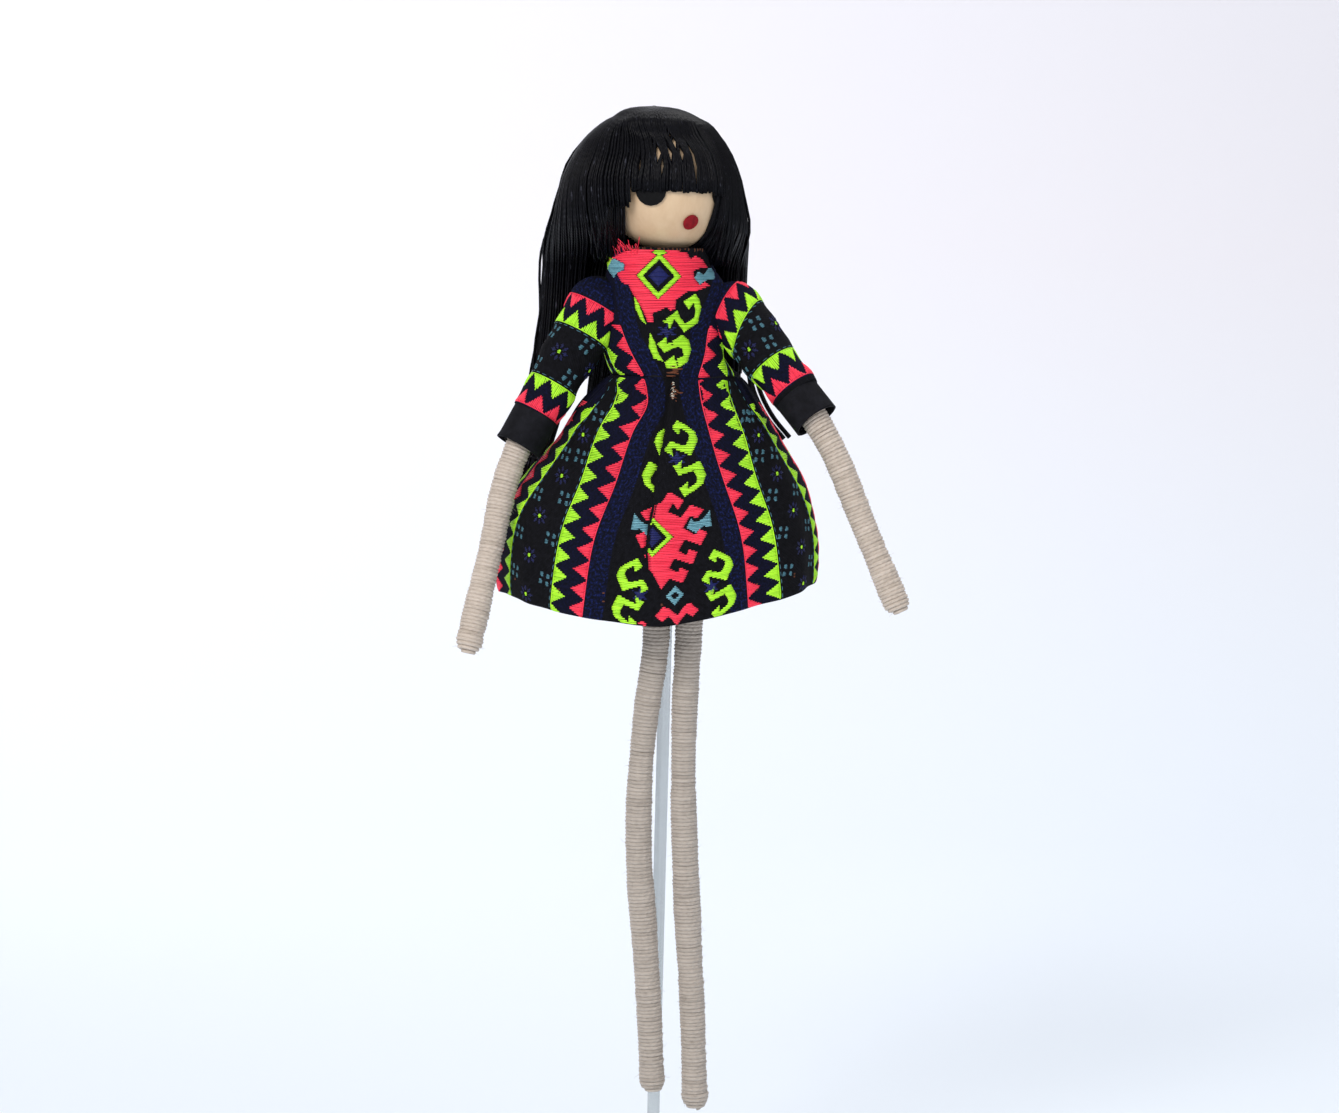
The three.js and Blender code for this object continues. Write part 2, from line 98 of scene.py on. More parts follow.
# Height, centre across, centre in depth, half-width and half-depth of each length of hair, from the top.
LOCKS = {
    "L": [(379.7, -43.5, 19, 9.5, 6), (350, -45, 19, 9.5, 6), (322, -50, 24, 8, 5), (297, -57, 29, 8, 5),
          (276, -60, 31, 6, 4)],
    "middle": [(379.7, -9, 21, 24, 7), (350, -11, 19.5, 21.5, 6.5), (335, -14, 23.5, 20, 6),
               (312, -18, 36, 18, 5.5), (292, -22, 44, 15, 4)],
    "R": [(379.7, 22, 19, 6.5, 6), (352, 22, 18, 6, 5), (333, 22.5, 20.5, 4.5, 3.5)],
    "nape": [(391, -11, 20, 33, 4), (380, -12, 20, 38, 4), (366, -12, 20, 37.5, 3.5),
             (350, -11.5, 20, 36, 2.5)],
}
STRAY_PATH = [(30, 17, 346), (33, 17, 331), (39, 16, 320), (45.5, 14, 312.5)]


def smooth(low, high, value):
    """0 at low, 1 at high, and an even S between them; low may be the larger."""
    t = np.clip((np.asarray(value, float) - low) / (high - low), 0, 1)
    return t * t * (3 - 2 * t)


def rounded(table, at):
    """Columns of a table at the given first-column values, on a curve with no corners."""
    rows = np.array(sorted(table), float)
    x, y = rows[:, 0], rows[:, 1:]
    slope = np.gradient(y, x, axis=0)
    at = np.clip(np.asarray(at, float), x[0], x[-1])
    i = np.clip(np.searchsorted(x, at) - 1, 0, len(x) - 2)
    h = (x[i + 1] - x[i])[..., None]
    t = ((at - x[i]) / (x[i + 1] - x[i]))[..., None]
    a, b = y[i], y[i + 1]
    return (a * (1 + 2 * t) * (1 - t) ** 2 + slope[i] * h * t * (1 - t) ** 2
            + b * t * t * (3 - 2 * t) + slope[i + 1] * h * t * t * (t - 1))


def unit(vectors):
    return vectors / np.maximum(np.linalg.norm(vectors, axis=-1, keepdims=True), 1e-9)


# ---- Camera, stage and light ----------------------------------------------------------------

SENSOR = 36.0
CAMERA_DISTANCE = 1.6
VIEW_WIDTH = 0.5356
CAMERA_TARGET = Vector((0.0007, 0.0, 0.265))
CAMERA_ELEVATION = 5.0
CAMERA_ROLL = 1.49


def make_camera():
    data = bpy.data.cameras.new("camera")
    data.sensor_width = SENSOR
    data.lens = SENSOR * CAMERA_DISTANCE / VIEW_WIDTH
    camera = bpy.data.objects.new("camera", data)
    bpy.context.scene.collection.objects.link(camera)
    rise = math.radians(CAMERA_ELEVATION)
    back = Vector((0, -math.cos(rise), math.sin(rise)))
    camera.location = CAMERA_TARGET + back * CAMERA_DISTANCE
    camera.rotation_mode = "QUATERNION"
    level = (-back).to_track_quat("-Z", "Y")
    camera.rotation_quaternion = level @ Quaternion((0, 0, 1), math.radians(CAMERA_ROLL))
    bpy.context.scene.camera = camera


def area_light(name, place, aim, size, power, colour):
    data = bpy.data.lights.new(name, "AREA")
    data.shape = "DISK"
    data.size = size
    data.energy = power
    data.color = colour
    light = bpy.data.objects.new(name, data)
    bpy.context.scene.collection.objects.link(light)
    light.location = place
    light.rotation_mode = "QUATERNION"
    light.rotation_quaternion = (Vector(aim) - Vector(place)).to_track_quat("-Z", "Y")


def make_light():
    bpy.context.scene.view_settings.view_transform = "Standard"
    world = bpy.data.worlds.new("studio")
    world.use_nodes = True
    background = world.node_tree.nodes["Background"]
    background.inputs["Color"].default_value = (0.95, 0.955, 1.0, 1)
    background.inputs["Strength"].default_value = 0.5
    bpy.context.scene.world = world
    doll = (0, 0, 0.3)
    area_light("key", (-1.1, -1.9, 1.5), doll, 1.1, 35, (1.0, 0.975, 0.95))
    area_light("fill", (1.6, -1.4, 0.7), doll, 1.3, 7, (0.92, 0.96, 1.0))
    area_light("top", (0.2, 0.5, 1.7), doll, 0.9, 8, (1.0, 1.0, 1.0))
    area_light("backdrop", (-0.8, 0.9, 1.3), (-0.5, 2.3, 0.6), 1.6, 8, (1.0, 0.975, 1.0))


# ---- Materials ------------------------------------------------------------------------------

def rgb(red, green, blue):
    """A linear colour from display values of 0 to 255."""
    shares = [c / 255 for c in (red, green, blue)]
    return tuple(c / 12.92 if c <= 0.04045 else ((c + 0.055) / 1.055) ** 2.4 for c in shares) + (1.0,)


class Look:
    """A node material, built from short calls. Sockets are given as node outputs or plain values."""

    def __init__(self, name, **shader):
        self.material = bpy.data.materials.new(name)
        self.material.use_nodes = True
        self.tree = self.material.node_tree
        self.shader = self.tree.nodes["Principled BSDF"]
        for key, value in shader.items():
            self.set(self.shader, {key.replace("_", " ").title().replace("Ior", "IOR"): value})

    def set(self, node, values):
        for key, value in values.items():
            socket = node.inputs[key]
            if isinstance(value, bpy.types.NodeSocket):
                self.tree.links.new(value, socket)
            else:
                socket.default_value = value

    def node(self, kind, inputs=None, **settings):
        made = self.tree.nodes.new("ShaderNode" + kind)
        for key, value in settings.items():
            setattr(made, key, value)
        self.set(made, inputs or {})
        return made

    def place(self, scale=(1, 1, 1), kind="Object"):
        """Texture position: the object's own (in metres) or its UV, scaled."""
        start = self.node("TexCoord").outputs[kind]
        return self.node("Mapping", {"Vector": start, "Scale": scale}).outputs["Vector"]

    def noise(self, scale, detail=3, stretch=(1, 1, 1), kind="Object", rough=0.5):
        where = self.place(stretch, kind)
        values = {"Vector": where, "Scale": scale, "Detail": detail, "Roughness": rough}
        return self.node("TexNoise", values).outputs["Fac"]

    def wave(self, scale, stretch=(1, 1, 1), kind="UV", direction="X", distortion=0.0):
        values = {"Vector": self.place(stretch, kind), "Scale": scale, "Distortion": distortion}
        return self.node("TexWave", values, bands_direction=direction).outputs["Fac"]

    def math(self, operation, *values):
        return self.node("Math", dict(enumerate(values)), operation=operation).outputs[0]

    def mix(self, share, a, b):
        return self.node("Mix", {0: share, 6: a, 7: b}, data_type="RGBA").outputs[2]

    def ramp(self, value, *stops):
        """Colour by value: stops are (place, colour)."""
        made = self.node("ValToRGB", {"Fac": value})
        elements = made.color_ramp.elements
        while len(elements) < len(stops):
            elements.new(0.5)
        for element, (at, colour) in zip(elements, stops):
            element.position = at
            element.color = colour
        return made.outputs["Color"]

    def paint(self, colour):
        self.set(self.shader, {"Base Color": colour})
        return self

    def bump(self, *layers):
        """Layers are (height socket, strength, distance in mm)."""
        normal = None
        for height, strength, distance in layers:
            values = {"Height": height, "Strength": strength, "Distance": distance * MM}
            if normal is not None:
                values["Normal"] = normal
            normal = self.node("Bump", values).outputs["Normal"]
        self.set(self.shader, {"Normal": normal})
        return self


def twine_look(name, pale, mid, dark):
    """Two-ply twine. UV is millimetres along the twine and turns around it."""
    look = Look(name, roughness=0.86, sheen_weight=0.25)
    turns = look.noise(0.045, 2, (1, 0, 1), "UV")
    fibres = look.noise(1.6, 4, (0.25, 6, 1), "UV", 0.65)
    tone = look.math("ADD", look.math("MULTIPLY", turns, 0.55), look.math("MULTIPLY", fibres, 0.45))
    look.paint(look.ramp(tone, (0.3, dark), (0.5, mid), (0.72, pale)))
    ply = look.wave(0.32, (0.9, 3.1, 1), "UV", "DIAGONAL")
    return look.bump((ply, 0.7, 0.22), (fibres, 0.5, 0.12))


def thread_look(name, bright, dark, roughness=0.5, painted_glow=0.0):
    """Embroidery thread, with a painted glow (emission) for the brightness of fluorescent dye. UV is
    millimetres along the stitch and its row.
    """
    look = Look(name, roughness=roughness, specular_ior_level=0.35, emission_color=bright,
                emission_strength=painted_glow)
    rows = look.noise(0.9, 1, (0.08, 1, 1), "UV")
    strands = look.noise(2.2, 2, (0.4, 4, 1), "UV", 0.6)
    tone = look.math("ADD", look.math("MULTIPLY", rows, 0.6), look.math("MULTIPLY", strands, 0.4))
    look.paint(look.ramp(tone, (0.28, dark), (0.62, bright)))
    return look.bump((strands, 0.5, 0.08))


# Positions across the woven pattern, in millimetres from the middle of one repeat.
NAVY_START, CORAL_LINE, GREEN_LINE, REPEAT_HALF = 26.0, 34.0, 48.3, 61.5


def brocade_look(name):
    """Black twill with speckled navy bands and dark navy zigzag bands. UV is millimetres across and along."""
    look = Look(name, roughness=0.9, specular_ior_level=0.12)
    parts = look.node("SeparateXYZ", {"Vector": look.node("TexCoord").outputs["UV"]})
    across = look.math("PINGPONG", parts.outputs["X"], REPEAT_HALF)
    edge = 0.35

    def between(low, high):
        rise = look.node("MapRange", {0: across, 1: low - edge, 2: low + edge}).outputs[0]
        fall = look.node("MapRange", {0: across, 1: high - edge, 2: high + edge, 3: 1.0, 4: 0.0}).outputs[0]
        return look.math("MULTIPLY", rise, fall)

    speckle = look.noise(1.15, 2, (1, 0.7, 1), "UV", 0.7)
    black = look.ramp(look.noise(0.5, 3, kind="UV"), (0.3, rgb(7, 7, 10)), (0.75, rgb(19, 19, 24)))
    navy = look.ramp(speckle, (0.42, rgb(8, 9, 20)), (0.56, rgb(14, 20, 50)), (0.7, rgb(27, 38, 94)))
    zigzag = look.ramp(speckle, (0.35, rgb(7, 8, 20)), (0.7, rgb(16, 18, 44)))
    ground = look.mix(between(NAVY_START, CORAL_LINE - 0.4), black, navy)
    ground = look.mix(between(CORAL_LINE, GREEN_LINE), ground, zigzag)
    look.paint(ground)
    twill = look.wave(0.42, (1, 1, 1), "UV", "DIAGONAL")
    return look.bump((twill, 0.5, 0.12), (speckle, 0.35, 0.15))


def cloth_look(name, dark, pale, weave=900.0, roughness=0.85):
    look = Look(name, roughness=roughness, specular_ior_level=0.15)
    lint = look.noise(220, 4, rough=0.7)
    look.paint(look.ramp(lint, (0.35, dark), (0.75, pale)))
    across = look.wave(weave, kind="Object", direction="X")
    down = look.wave(weave, kind="Object", direction="Z")
    return look.bump((look.math("MULTIPLY", across, down), 0.4, 0.1), (lint, 0.25, 0.15))


def hair_look():
    look = Look("hair_cord", roughness=0.4, specular_ior_level=0.11)
    tone = look.noise(0.35, 3, (1, 2, 1), "UV")
    # Sparse grey flecks mixed into the cord colour are painted sheen highlights.
    sheen_flecks = look.noise(0.11, 4, (1, 9, 1), "UV", 0.75)
    cord = look.ramp(tone, (0.3, rgb(3, 3, 6)), (0.75, rgb(11, 11, 17)))
    look.paint(look.mix(look.node("MapRange", {0: sheen_flecks, 1: 0.6, 2: 0.68}).outputs[0], cord, rgb(56, 57, 66)))
    ply = look.wave(0.28, (1, 3.1, 1), "UV", "DIAGONAL")
    return look.bump((ply, 0.6, 0.12))


def bead_look():
    look = Look("bead_wood", roughness=0.42, coat_weight=0.25, coat_roughness=0.3)
    grain = look.noise(60, 5, (1, 1, 0.16), rough=0.6)
    fleck = look.noise(900, 2, (1, 1, 0.12))
    wood = look.ramp(grain, (0.3, rgb(202, 168, 130)), (0.5, rgb(216, 187, 151)), (0.72, rgb(226, 200, 168)))
    look.paint(look.mix(look.math("MULTIPLY", fleck, 0.16), wood, rgb(168, 128, 92)))
    return look.bump((fleck, 0.12, 0.05))


def dab_look(name, dark, pale, roughness):
    """Brushed paint."""
    look = Look(name, roughness=roughness, specular_ior_level=0.2)
    strokes = look.noise(500, 3, (1, 1, 0.3))
    look.paint(look.ramp(strokes, (0.3, dark), (0.7, pale)))
    return look.bump((strokes, 0.35, 0.12))


def rod_look():
    look = Look("clear_rod", roughness=0.1, ior=1.49, transmission_weight=0.8)
    haze = look.noise(40, 3, (1, 1, 0.1))
    look.paint(look.ramp(haze, (0.3, rgb(206, 211, 212)), (0.8, rgb(222, 227, 228))))
    return look.bump((look.noise(300, 2), 0.05, 0.02))


def wire_look():
    look = Look("wire", metallic=1.0, roughness=0.35)
    drawn = look.noise(900, 2, (1, 1, 0.05))
    look.paint(look.ramp(drawn, (0.3, rgb(128, 130, 133)), (0.7, rgb(168, 170, 172))))
    return look.bump((drawn, 0.2, 0.02))


LOOKS = {}


def make_looks():
    LOOKS.update({
        "arm": twine_look("arm_twine", rgb(222, 208, 195), rgb(198, 184, 170), rgb(158, 143, 128)),
        # The leg twine is the arm twine painted darker and greyer: painted shade for the less lit legs.
        "leg": twine_look("shaded_leg_twine", rgb(202, 191, 179), rgb(180, 169, 158), rgb(144, 133, 122)),
        # The coral and green threads get a painted glow from emission.
        "coral": thread_look("coral_thread", rgb(255, 60, 88), rgb(206, 18, 50), painted_glow=0.1),
        "green": thread_look("green_thread", rgb(188, 250, 50), rgb(120, 190, 20), painted_glow=0.1),
        "sky": thread_look("light_blue_thread", rgb(124, 182, 196), rgb(58, 104, 120)),
        "teal": thread_look("teal_thread", rgb(82, 134, 150), rgb(30, 60, 74)),
        "royal": thread_look("royal_blue_thread", rgb(20, 30, 104), rgb(9, 12, 50)),
        "night": thread_look("dark_navy_thread", rgb(20, 28, 84), rgb(12, 14, 44)),
        "brown": thread_look("brown_thread", rgb(112, 62, 36), rgb(58, 30, 20), 0.8),
        "brocade": brocade_look("brocade"),
        "cuff": cloth_look("cuff_cloth", rgb(13, 13, 17), rgb(28, 28, 34)),
        # Near-black cloth for the sheets inside the hair: painted shade between the cords.
        "hair_shade_sheet": cloth_look("hair_shade_sheet", rgb(4, 4, 6), rgb(10, 10, 14)),
        "lining": cloth_look("lining", rgb(20, 20, 26), rgb(34, 34, 42)),
        "calico": cloth_look("calico", rgb(206, 196, 178), rgb(232, 224, 208)),
        "padding": cloth_look("cotton_padding", rgb(214, 206, 192), rgb(236, 230, 218), 300.0),
        "hair": hair_look(),
        "bead": bead_look(),
        "eye": dab_look("eye_paint", rgb(3, 3, 4), rgb(9, 9, 11), 0.8),
        "mouth": dab_look("mouth_paint", rgb(112, 4, 16), rgb(150, 12, 28), 0.55),
        "rod": rod_look(),
        "wire": wire_look(),
    })


# ---- Meshes ---------------------------------------------------------------------------------

class Shape:
    """Grids of quads and end caps that become one mesh, with a texture position at every corner."""

    def __init__(self):
        self.points, self.faces, self.corners, self.count = [], [], [], 0

    def grid(self, points, uv=None, around=False, over=False, caps=False):
        """points is (rows, columns, 3). around joins the last column to the first, and over the last row to
        the first; uv then has one more column or row."""
        rows, columns = points.shape[:2]
        number = self.count + np.arange(rows * columns).reshape(rows, columns)
        self.points.append(points.reshape(-1, 3))
        self.count += rows * columns
        if around:
            number = np.concatenate([number, number[:, :1]], axis=1)
        if over:
            number = np.concatenate([number, number[:1]])
        if uv is None:
            uv = np.zeros(number.shape + (2,))
        for grid, into in ((number, self.faces), (uv, self.corners)):
            ring = np.stack([grid[:-1, :-1], grid[:-1, 1:], grid[1:, 1:], grid[1:, :-1]], axis=2)
            into.extend(ring.reshape((-1, 4) + grid.shape[2:]).tolist())
        if caps:
            for row, order in ((0, slice(None, None, -1)), (-1, slice(None))):
                self.faces.append(number[row, :columns][order].tolist())
                self.corners.append(uv[row, :columns][order].tolist())

    def piece(self, name, look, body=None, slot=None, replaces=()):
        mesh = bpy.data.meshes.new(name)
        points = np.concatenate(self.points) * MM
        mesh.from_pydata(points.tolist(), [], self.faces)
        layer = mesh.uv_layers.new(name="UVMap")
        flat = np.array([c for face in self.corners for c in face], np.float32)
        layer.data.foreach_set("uv", flat.ravel())
        mesh.shade_smooth()
        mesh.materials.append(LOOKS[look].material)
        made = bpy.data.objects.new(name, mesh)
        bpy.context.scene.collection.objects.link(made)
        if body:
            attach(made, body)
        if replaces:
            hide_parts(*replaces)
        return made


def lengths_along(path):
    """Each point's distance from the path's start."""
    return np.concatenate([[0], np.cumsum(np.linalg.norm(np.diff(path, axis=0), axis=1))])


def tube(shape, path, radius, sides=6, start_uv=0.0):
    """A closed tube along a path of points, with a fixed-up frame that never twists."""
    path = np.asarray(path, float)
    ahead = unit(np.gradient(path, axis=0))
    side = np.zeros_like(path)
    first = np.cross(ahead[0], (0.3, 0.2, 0.93))
    if np.linalg.norm(first) < 0.2:
        first = np.cross(ahead[0], (1.0, 0, 0))
    side[0] = unit(first)
    for i in range(1, len(path)):
        side[i] = unit(side[i - 1] - ahead[i] * (side[i - 1] @ ahead[i]))
    up = np.cross(ahead, side)
    angle = np.linspace(0, 2 * math.pi, sides, endpoint=False)
    radius = np.broadcast_to(radius, len(path))[:, None, None]
    ring = side[:, None] * np.cos(angle)[:, None] + up[:, None] * np.sin(angle)[:, None]
    along = lengths_along(path) + start_uv
    uv = np.stack(np.meshgrid(along, np.linspace(0, 1, sides + 1), indexing="ij"), axis=-1)
    shape.grid(path[:, None] + ring * radius, uv, around=True, caps=True)


def curve_through(points, step):
    """Points every step millimetres along a smooth curve through the given points."""
    points = np.asarray(points, float)
    length = lengths_along(points)
    table = [(s, *p) for s, p in zip(length, points)]
    at = np.linspace(0, length[-1], max(3, int(length[-1] / step) + 1))
    return rounded(table, at)


# ---- Twine-wound limbs ----------------------------------------------------------------------

TWINE_TURN = 1.45
TWINE_RADIUS = 0.86
TURN_POINTS = 18
SPINE_STEP = 0.25
WINDING_TILT = 0.35
# How uneven the winding is: out from the limb, along it, and as a share of the twine's thickness.
WOBBLE, SLIP, SLUBS = 0.09, 0.07, 0.06
FIBRES_PER_MM = 0.9
FIBRE_RADII = (0.05, 0.045, 0.03)
BEND_HALF = {"arm": 6.0, "leg": 11.0}


def uneven(at, knots, spread):
    """Random values at 0, 1, 2 and so on, joined by straight lines."""
    return np.interp(at, np.arange(knots), RANDOM.normal(0, spread, knots))


def wound_limb(name, look, path, bend, replaces):
    """Twine wound in touching turns from the path's start to a rounded end at its last point."""
    spine = curve_through(path, SPINE_STEP)
    ahead = unit(np.gradient(spine, axis=0))
    length = lengths_along(spine)
    total = length[-1]
    count = int(total / TWINE_TURN * TURN_POINTS)
    turn = np.arange(count) / TURN_POINTS
    along = turn * TWINE_TURN
    knots = count // TURN_POINTS + 2
    wobble = uneven(turn, knots, WOBBLE)
    at = np.clip(along + uneven(turn, knots, SLIP), 0, total - 0.4)
    swell = 0.22 * np.sin(along / 17.0 + len(name)) + 0.12 * np.sin(along / 6.3)
    end = np.clip((along - (total - LIMB_RADIUS)) / LIMB_RADIUS, 0, 0.985)
    coil_radius = (LIMB_RADIUS - TWINE_RADIUS + wobble + swell) * np.sqrt(1 - end ** 2) + 0.1
    middle = np.stack([np.interp(at, length, spine[:, k]) for k in range(3)], axis=1)
    tangent = unit(np.stack([np.interp(at, length, ahead[:, k]) for k in range(3)], axis=1))
    right = unit(np.cross(tangent, (0.0, 1.0, 0.0)))
    front = np.cross(tangent, right)
    angle = 2 * math.pi * turn
    out = right * np.cos(angle)[:, None] + front * np.sin(angle)[:, None]
    tilt = WINDING_TILT * np.sin(angle + 0.8)
    coil = middle + out * coil_radius[:, None] + tangent * tilt[:, None]
    shape = Shape()
    tube(shape, coil, TWINE_RADIUS * (1 + uneven(turn * 3.1, count, SLUBS)), 6)
    for _ in range(int(total * FIBRES_PER_MM)):
        i = RANDOM.integers(count - 1)
        away = unit(coil[i] - middle[i])
        drift = unit(away + RANDOM.normal(0, 0.7, 3))
        hop = RANDOM.uniform(0.8, 2.6)
        base = coil[i] + away * TWINE_RADIUS * 0.7
        tip = base + drift * hop + tangent[i] * RANDOM.normal(0, 0.7)
        tube(shape, np.array([base, base + drift * hop * 0.5, tip]), FIBRE_RADII, 3)
    made = shape.piece(name, look, slot="twine", replaces=replaces)
    start, finish = (Vector(p) * MM for p in bend)
    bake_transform(made)


def around_joint(before, joint, after, half):
    """Points half a bend length to either side of a joint, along the limb."""
    before, joint, after = (np.array(p, float) for p in (before, joint, after))
    way = unit(unit(joint - before) + unit(after - joint))
    return joint - way * half, joint + way * half


def make_limbs():
    for side in "LR":
        arm = [SHOULDERS[side], ELBOWS[side], HANDS[side]]
        shoulder, elbow, hand = (np.array(p) for p in arm)
        softened = [shoulder, shoulder + (elbow - shoulder) * 0.5,
                    elbow - unit(elbow - shoulder) * BEND_HALF["arm"],
                    elbow + unit(hand - elbow) * BEND_HALF["arm"],
                    elbow + (hand - elbow) * 0.5, hand]
        leg = [(x, LEG_Y, z) for x, z in LEG_PATHS[side]]
        for limb, path, joint, upper, lower in (("arm", softened, arm, "upper_arm", "forearm"),
                                                ("leg", leg, leg[3:6], "thigh", "shin")):
            wraps = f"{upper}_{side}_twine_wrap", f"{lower}_{side}_twine_wrap"
            bend = around_joint(*joint, BEND_HALF[limb])
            wound_limb(f"{limb}_{side}_twine", limb, path, bend, wraps)


# ---- Cloth surfaces -------------------------------------------------------------------------

class Cloth:
    """A surface of rings. A place on it is (across, along): millimetres round the ring from its front,
    rightwards, and the ring's own measure."""

    def __init__(self, ring, measures, front_x=None, columns=720):
        rings = np.array([ring(m) for m in measures])
        length = np.array([lengths_along(r) for r in rings])
        middle = rings.shape[1] // 2
        if front_x is None:
            front = length[:, middle]
        else:
            near = slice(middle - middle // 3, middle + middle // 3)
            front = np.array([np.interp(front_x, r[near, 0], s[near]) for r, s in zip(rings, length)])
        self.measures = np.asarray(measures, float)
        self.left, self.right = -front, length[:, -1] - front
        share = np.linspace(0, 1, columns)
        self.points = np.array([[np.interp(share * s[-1], s, r[:, k]) for k in range(3)]
                                for r, s in zip(rings, length)]).transpose(0, 2, 1)
        self.finish()

    def finish(self):
        round_ring = np.gradient(self.points, axis=1)
        up = np.gradient(self.points, axis=0)
        self.normals = unit(np.cross(round_ring, up))

    def across(self):
        """The across value of every grid point."""
        share = np.linspace(0, 1, self.points.shape[1])
        return self.left[:, None] + (self.right - self.left)[:, None] * share

    def push(self, amount):
        """Moves every grid point out along its normal."""
        self.points = self.points + self.normals * amount[..., None]
        self.finish()

    def at(self, across, along):
        """Points and normals at places on the cloth."""
        rows, columns = self.points.shape[:2]
        along = np.clip(along, self.measures[0], self.measures[-1])
        row = np.interp(along, self.measures, np.arange(rows))
        left, right = (np.interp(row, np.arange(rows), edge) for edge in (self.left, self.right))
        column = np.clip((across - left) / (right - left), 0, 1) * (columns - 1)
        i, j = np.minimum(row.astype(int), rows - 2), np.minimum(column.astype(int), columns - 2)
        u, v = (row - i)[..., None], (column - j)[..., None]
        found = [(grid[i, j] * (1 - v) + grid[i, j + 1] * v) * (1 - u)
                 + (grid[i + 1, j] * (1 - v) + grid[i + 1, j + 1] * v) * u
                 for grid in (self.points, self.normals)]
        return found[0], unit(found[1])

    def sheet(self, shape, uv, thickness, step=1):
        """Adds the cloth as a closed skin. Its first half of faces is the outside."""
        grid, normals = self.points[:, ::step], self.normals[:, ::step]
        inner = grid - normals * thickness
        edge_low, edge_high = grid[:1] - normals[:1] * thickness / 2, grid[-1:] - normals[-1:] * thickness / 2
        skin = np.concatenate([edge_low, grid, edge_high, inner[::-1]])
        marks = uv[:, ::step]
        marks = np.concatenate([marks[:1], marks, marks[-1:], marks[::-1]])
        skin, marks = np.concatenate([skin, skin[:1]]), np.concatenate([marks, marks[:1]])
        shape.grid(skin[:-1, :-1], marks, around=True, over=True)


RING_TURNS = np.linspace(-math.pi, math.pi, 361)


def oval(turn, centre, half_width, half_depth, z):
    """A ring of the dress by the turn from its front, rightwards."""
    ring = centre + half_width * np.sin(turn), BODY_Y - half_depth * np.cos(turn), z
    return np.stack(np.broadcast_arrays(*ring), axis=1)


def waves(table, at):
    """The sum of sine waves given as (height, number in a full turn, start)."""
    return sum(height * np.sin(number * at + start) for height, number, start in table)


# Where the pattern's lines lie on the real cloth, which is gathered towards the waist: at each measure, the
# distance of the coral line from the front, and the widths of the flower band and the two stripes.
LEFT, RIGHT = -1, 1
SKIRT_LINES = {
    LEFT: [(0, 33.5, 26.5, 14.3), (38, 28, 26, 14), (55, 22, 21, 14), (76, 15.8, 13, 14.4),
           (91, 9.6, 7.5, 13), (100, 11.5, 4, 12.5)],
    RIGHT: [(0, 34.5, 26.5, 14.3), (38, 28.5, 26.5, 14), (55, 22.5, 22, 14), (76, 15.6, 14, 14.4),
            (91, 11.4, 8, 13), (100, 10.2, 4, 12.5)],
}
BODICE_LINES = {
    LEFT: [(0, 11.5, 4, 12.5), (9, 16.5, 6, 13), (19, 22, 9, 13.5), (31, 25, 12, 14), (42, 28, 14, 14),
           (51, 30, 14, 14)],
    RIGHT: [(0, 10.2, 4, 12.5), (9, 13.2, 6, 13), (21, 15.6, 9, 13.5), (31, 21, 12, 14), (42, 26, 14, 14),
            (51, 29, 14, 14)],
}
NAVY_WIDTH = 8.0


def part_widths(black, navy, stripes, flowers):
    """The pattern's parts from the middle of its front column to the far side of its second flower band."""
    return [black, navy, stripes, flowers, stripes, navy, 2 * black, navy, stripes, flowers]


def pattern_lines(lines, side, along):
    """Distances from the front of the pattern's lines, with the pattern's own positions of the same lines."""
    coral, flowers, stripes = rounded(lines[side], along).T
    navy = np.minimum(NAVY_WIDTH, coral * 0.75)
    widths = part_widths(coral - navy, navy, stripes, flowers)
    own = part_widths(NAVY_START, CORAL_LINE - NAVY_START, GREEN_LINE - CORAL_LINE,
                      2 * (REPEAT_HALF - GREEN_LINE))
    real = np.concatenate([np.zeros((1,) + np.shape(coral)), np.cumsum(widths, axis=0)])
    return real, np.concatenate([[0], np.cumsum(own)])


def pattern_marks(cloth, lines):
    """Texture positions: the pattern's own distance across, and the measure along."""
    across = cloth.across()
    marks = np.zeros(across.shape + (2,))
    for i, along in enumerate(cloth.measures):
        for side in (LEFT, RIGHT):
            real, own = pattern_lines(lines, side, np.array([along]))
            here = across[i] * side >= 0
            marks[i, here, 0] = np.interp(np.abs(across[i, here]), real[:, 0], own)
        marks[i, :, 1] = along
    return marks


# The front pleat of the skirt: where its edge lies across the front, by the measure from the hem.
PLEAT = [(0, -5.5), (20, -7.2), (34, -8), (50, -5.7), (64, -4.6), (75, -2.5), (85, -1.5), (100, 0)]
# Waves round the skirt: the folds at the hem and the gathers at the waist.
FOLDS = [(1.1, 7, 0.6), (0.7, 12, 2.0), (0.3, 23, 0.0)]
GATHERS = [(0.35, 31, 1.0), (0.25, 47, 0.0)]
PLEAT_RISE, PLEAT_TUCK, HEM_CURL = 1.5, 0.9, 0.8


def skirt_ring(measure):
    side = np.sin(RING_TURNS)
    hem = HEM_Z + HEM_SIDES * np.abs(side) ** HEM_POWER + HEM_TILT * side
    z = hem + (WAIST_Z - hem) * measure / SKIRT_LENGTH
    return oval(RING_TURNS, *rounded(SKIRT_TABLE, z).T, z)


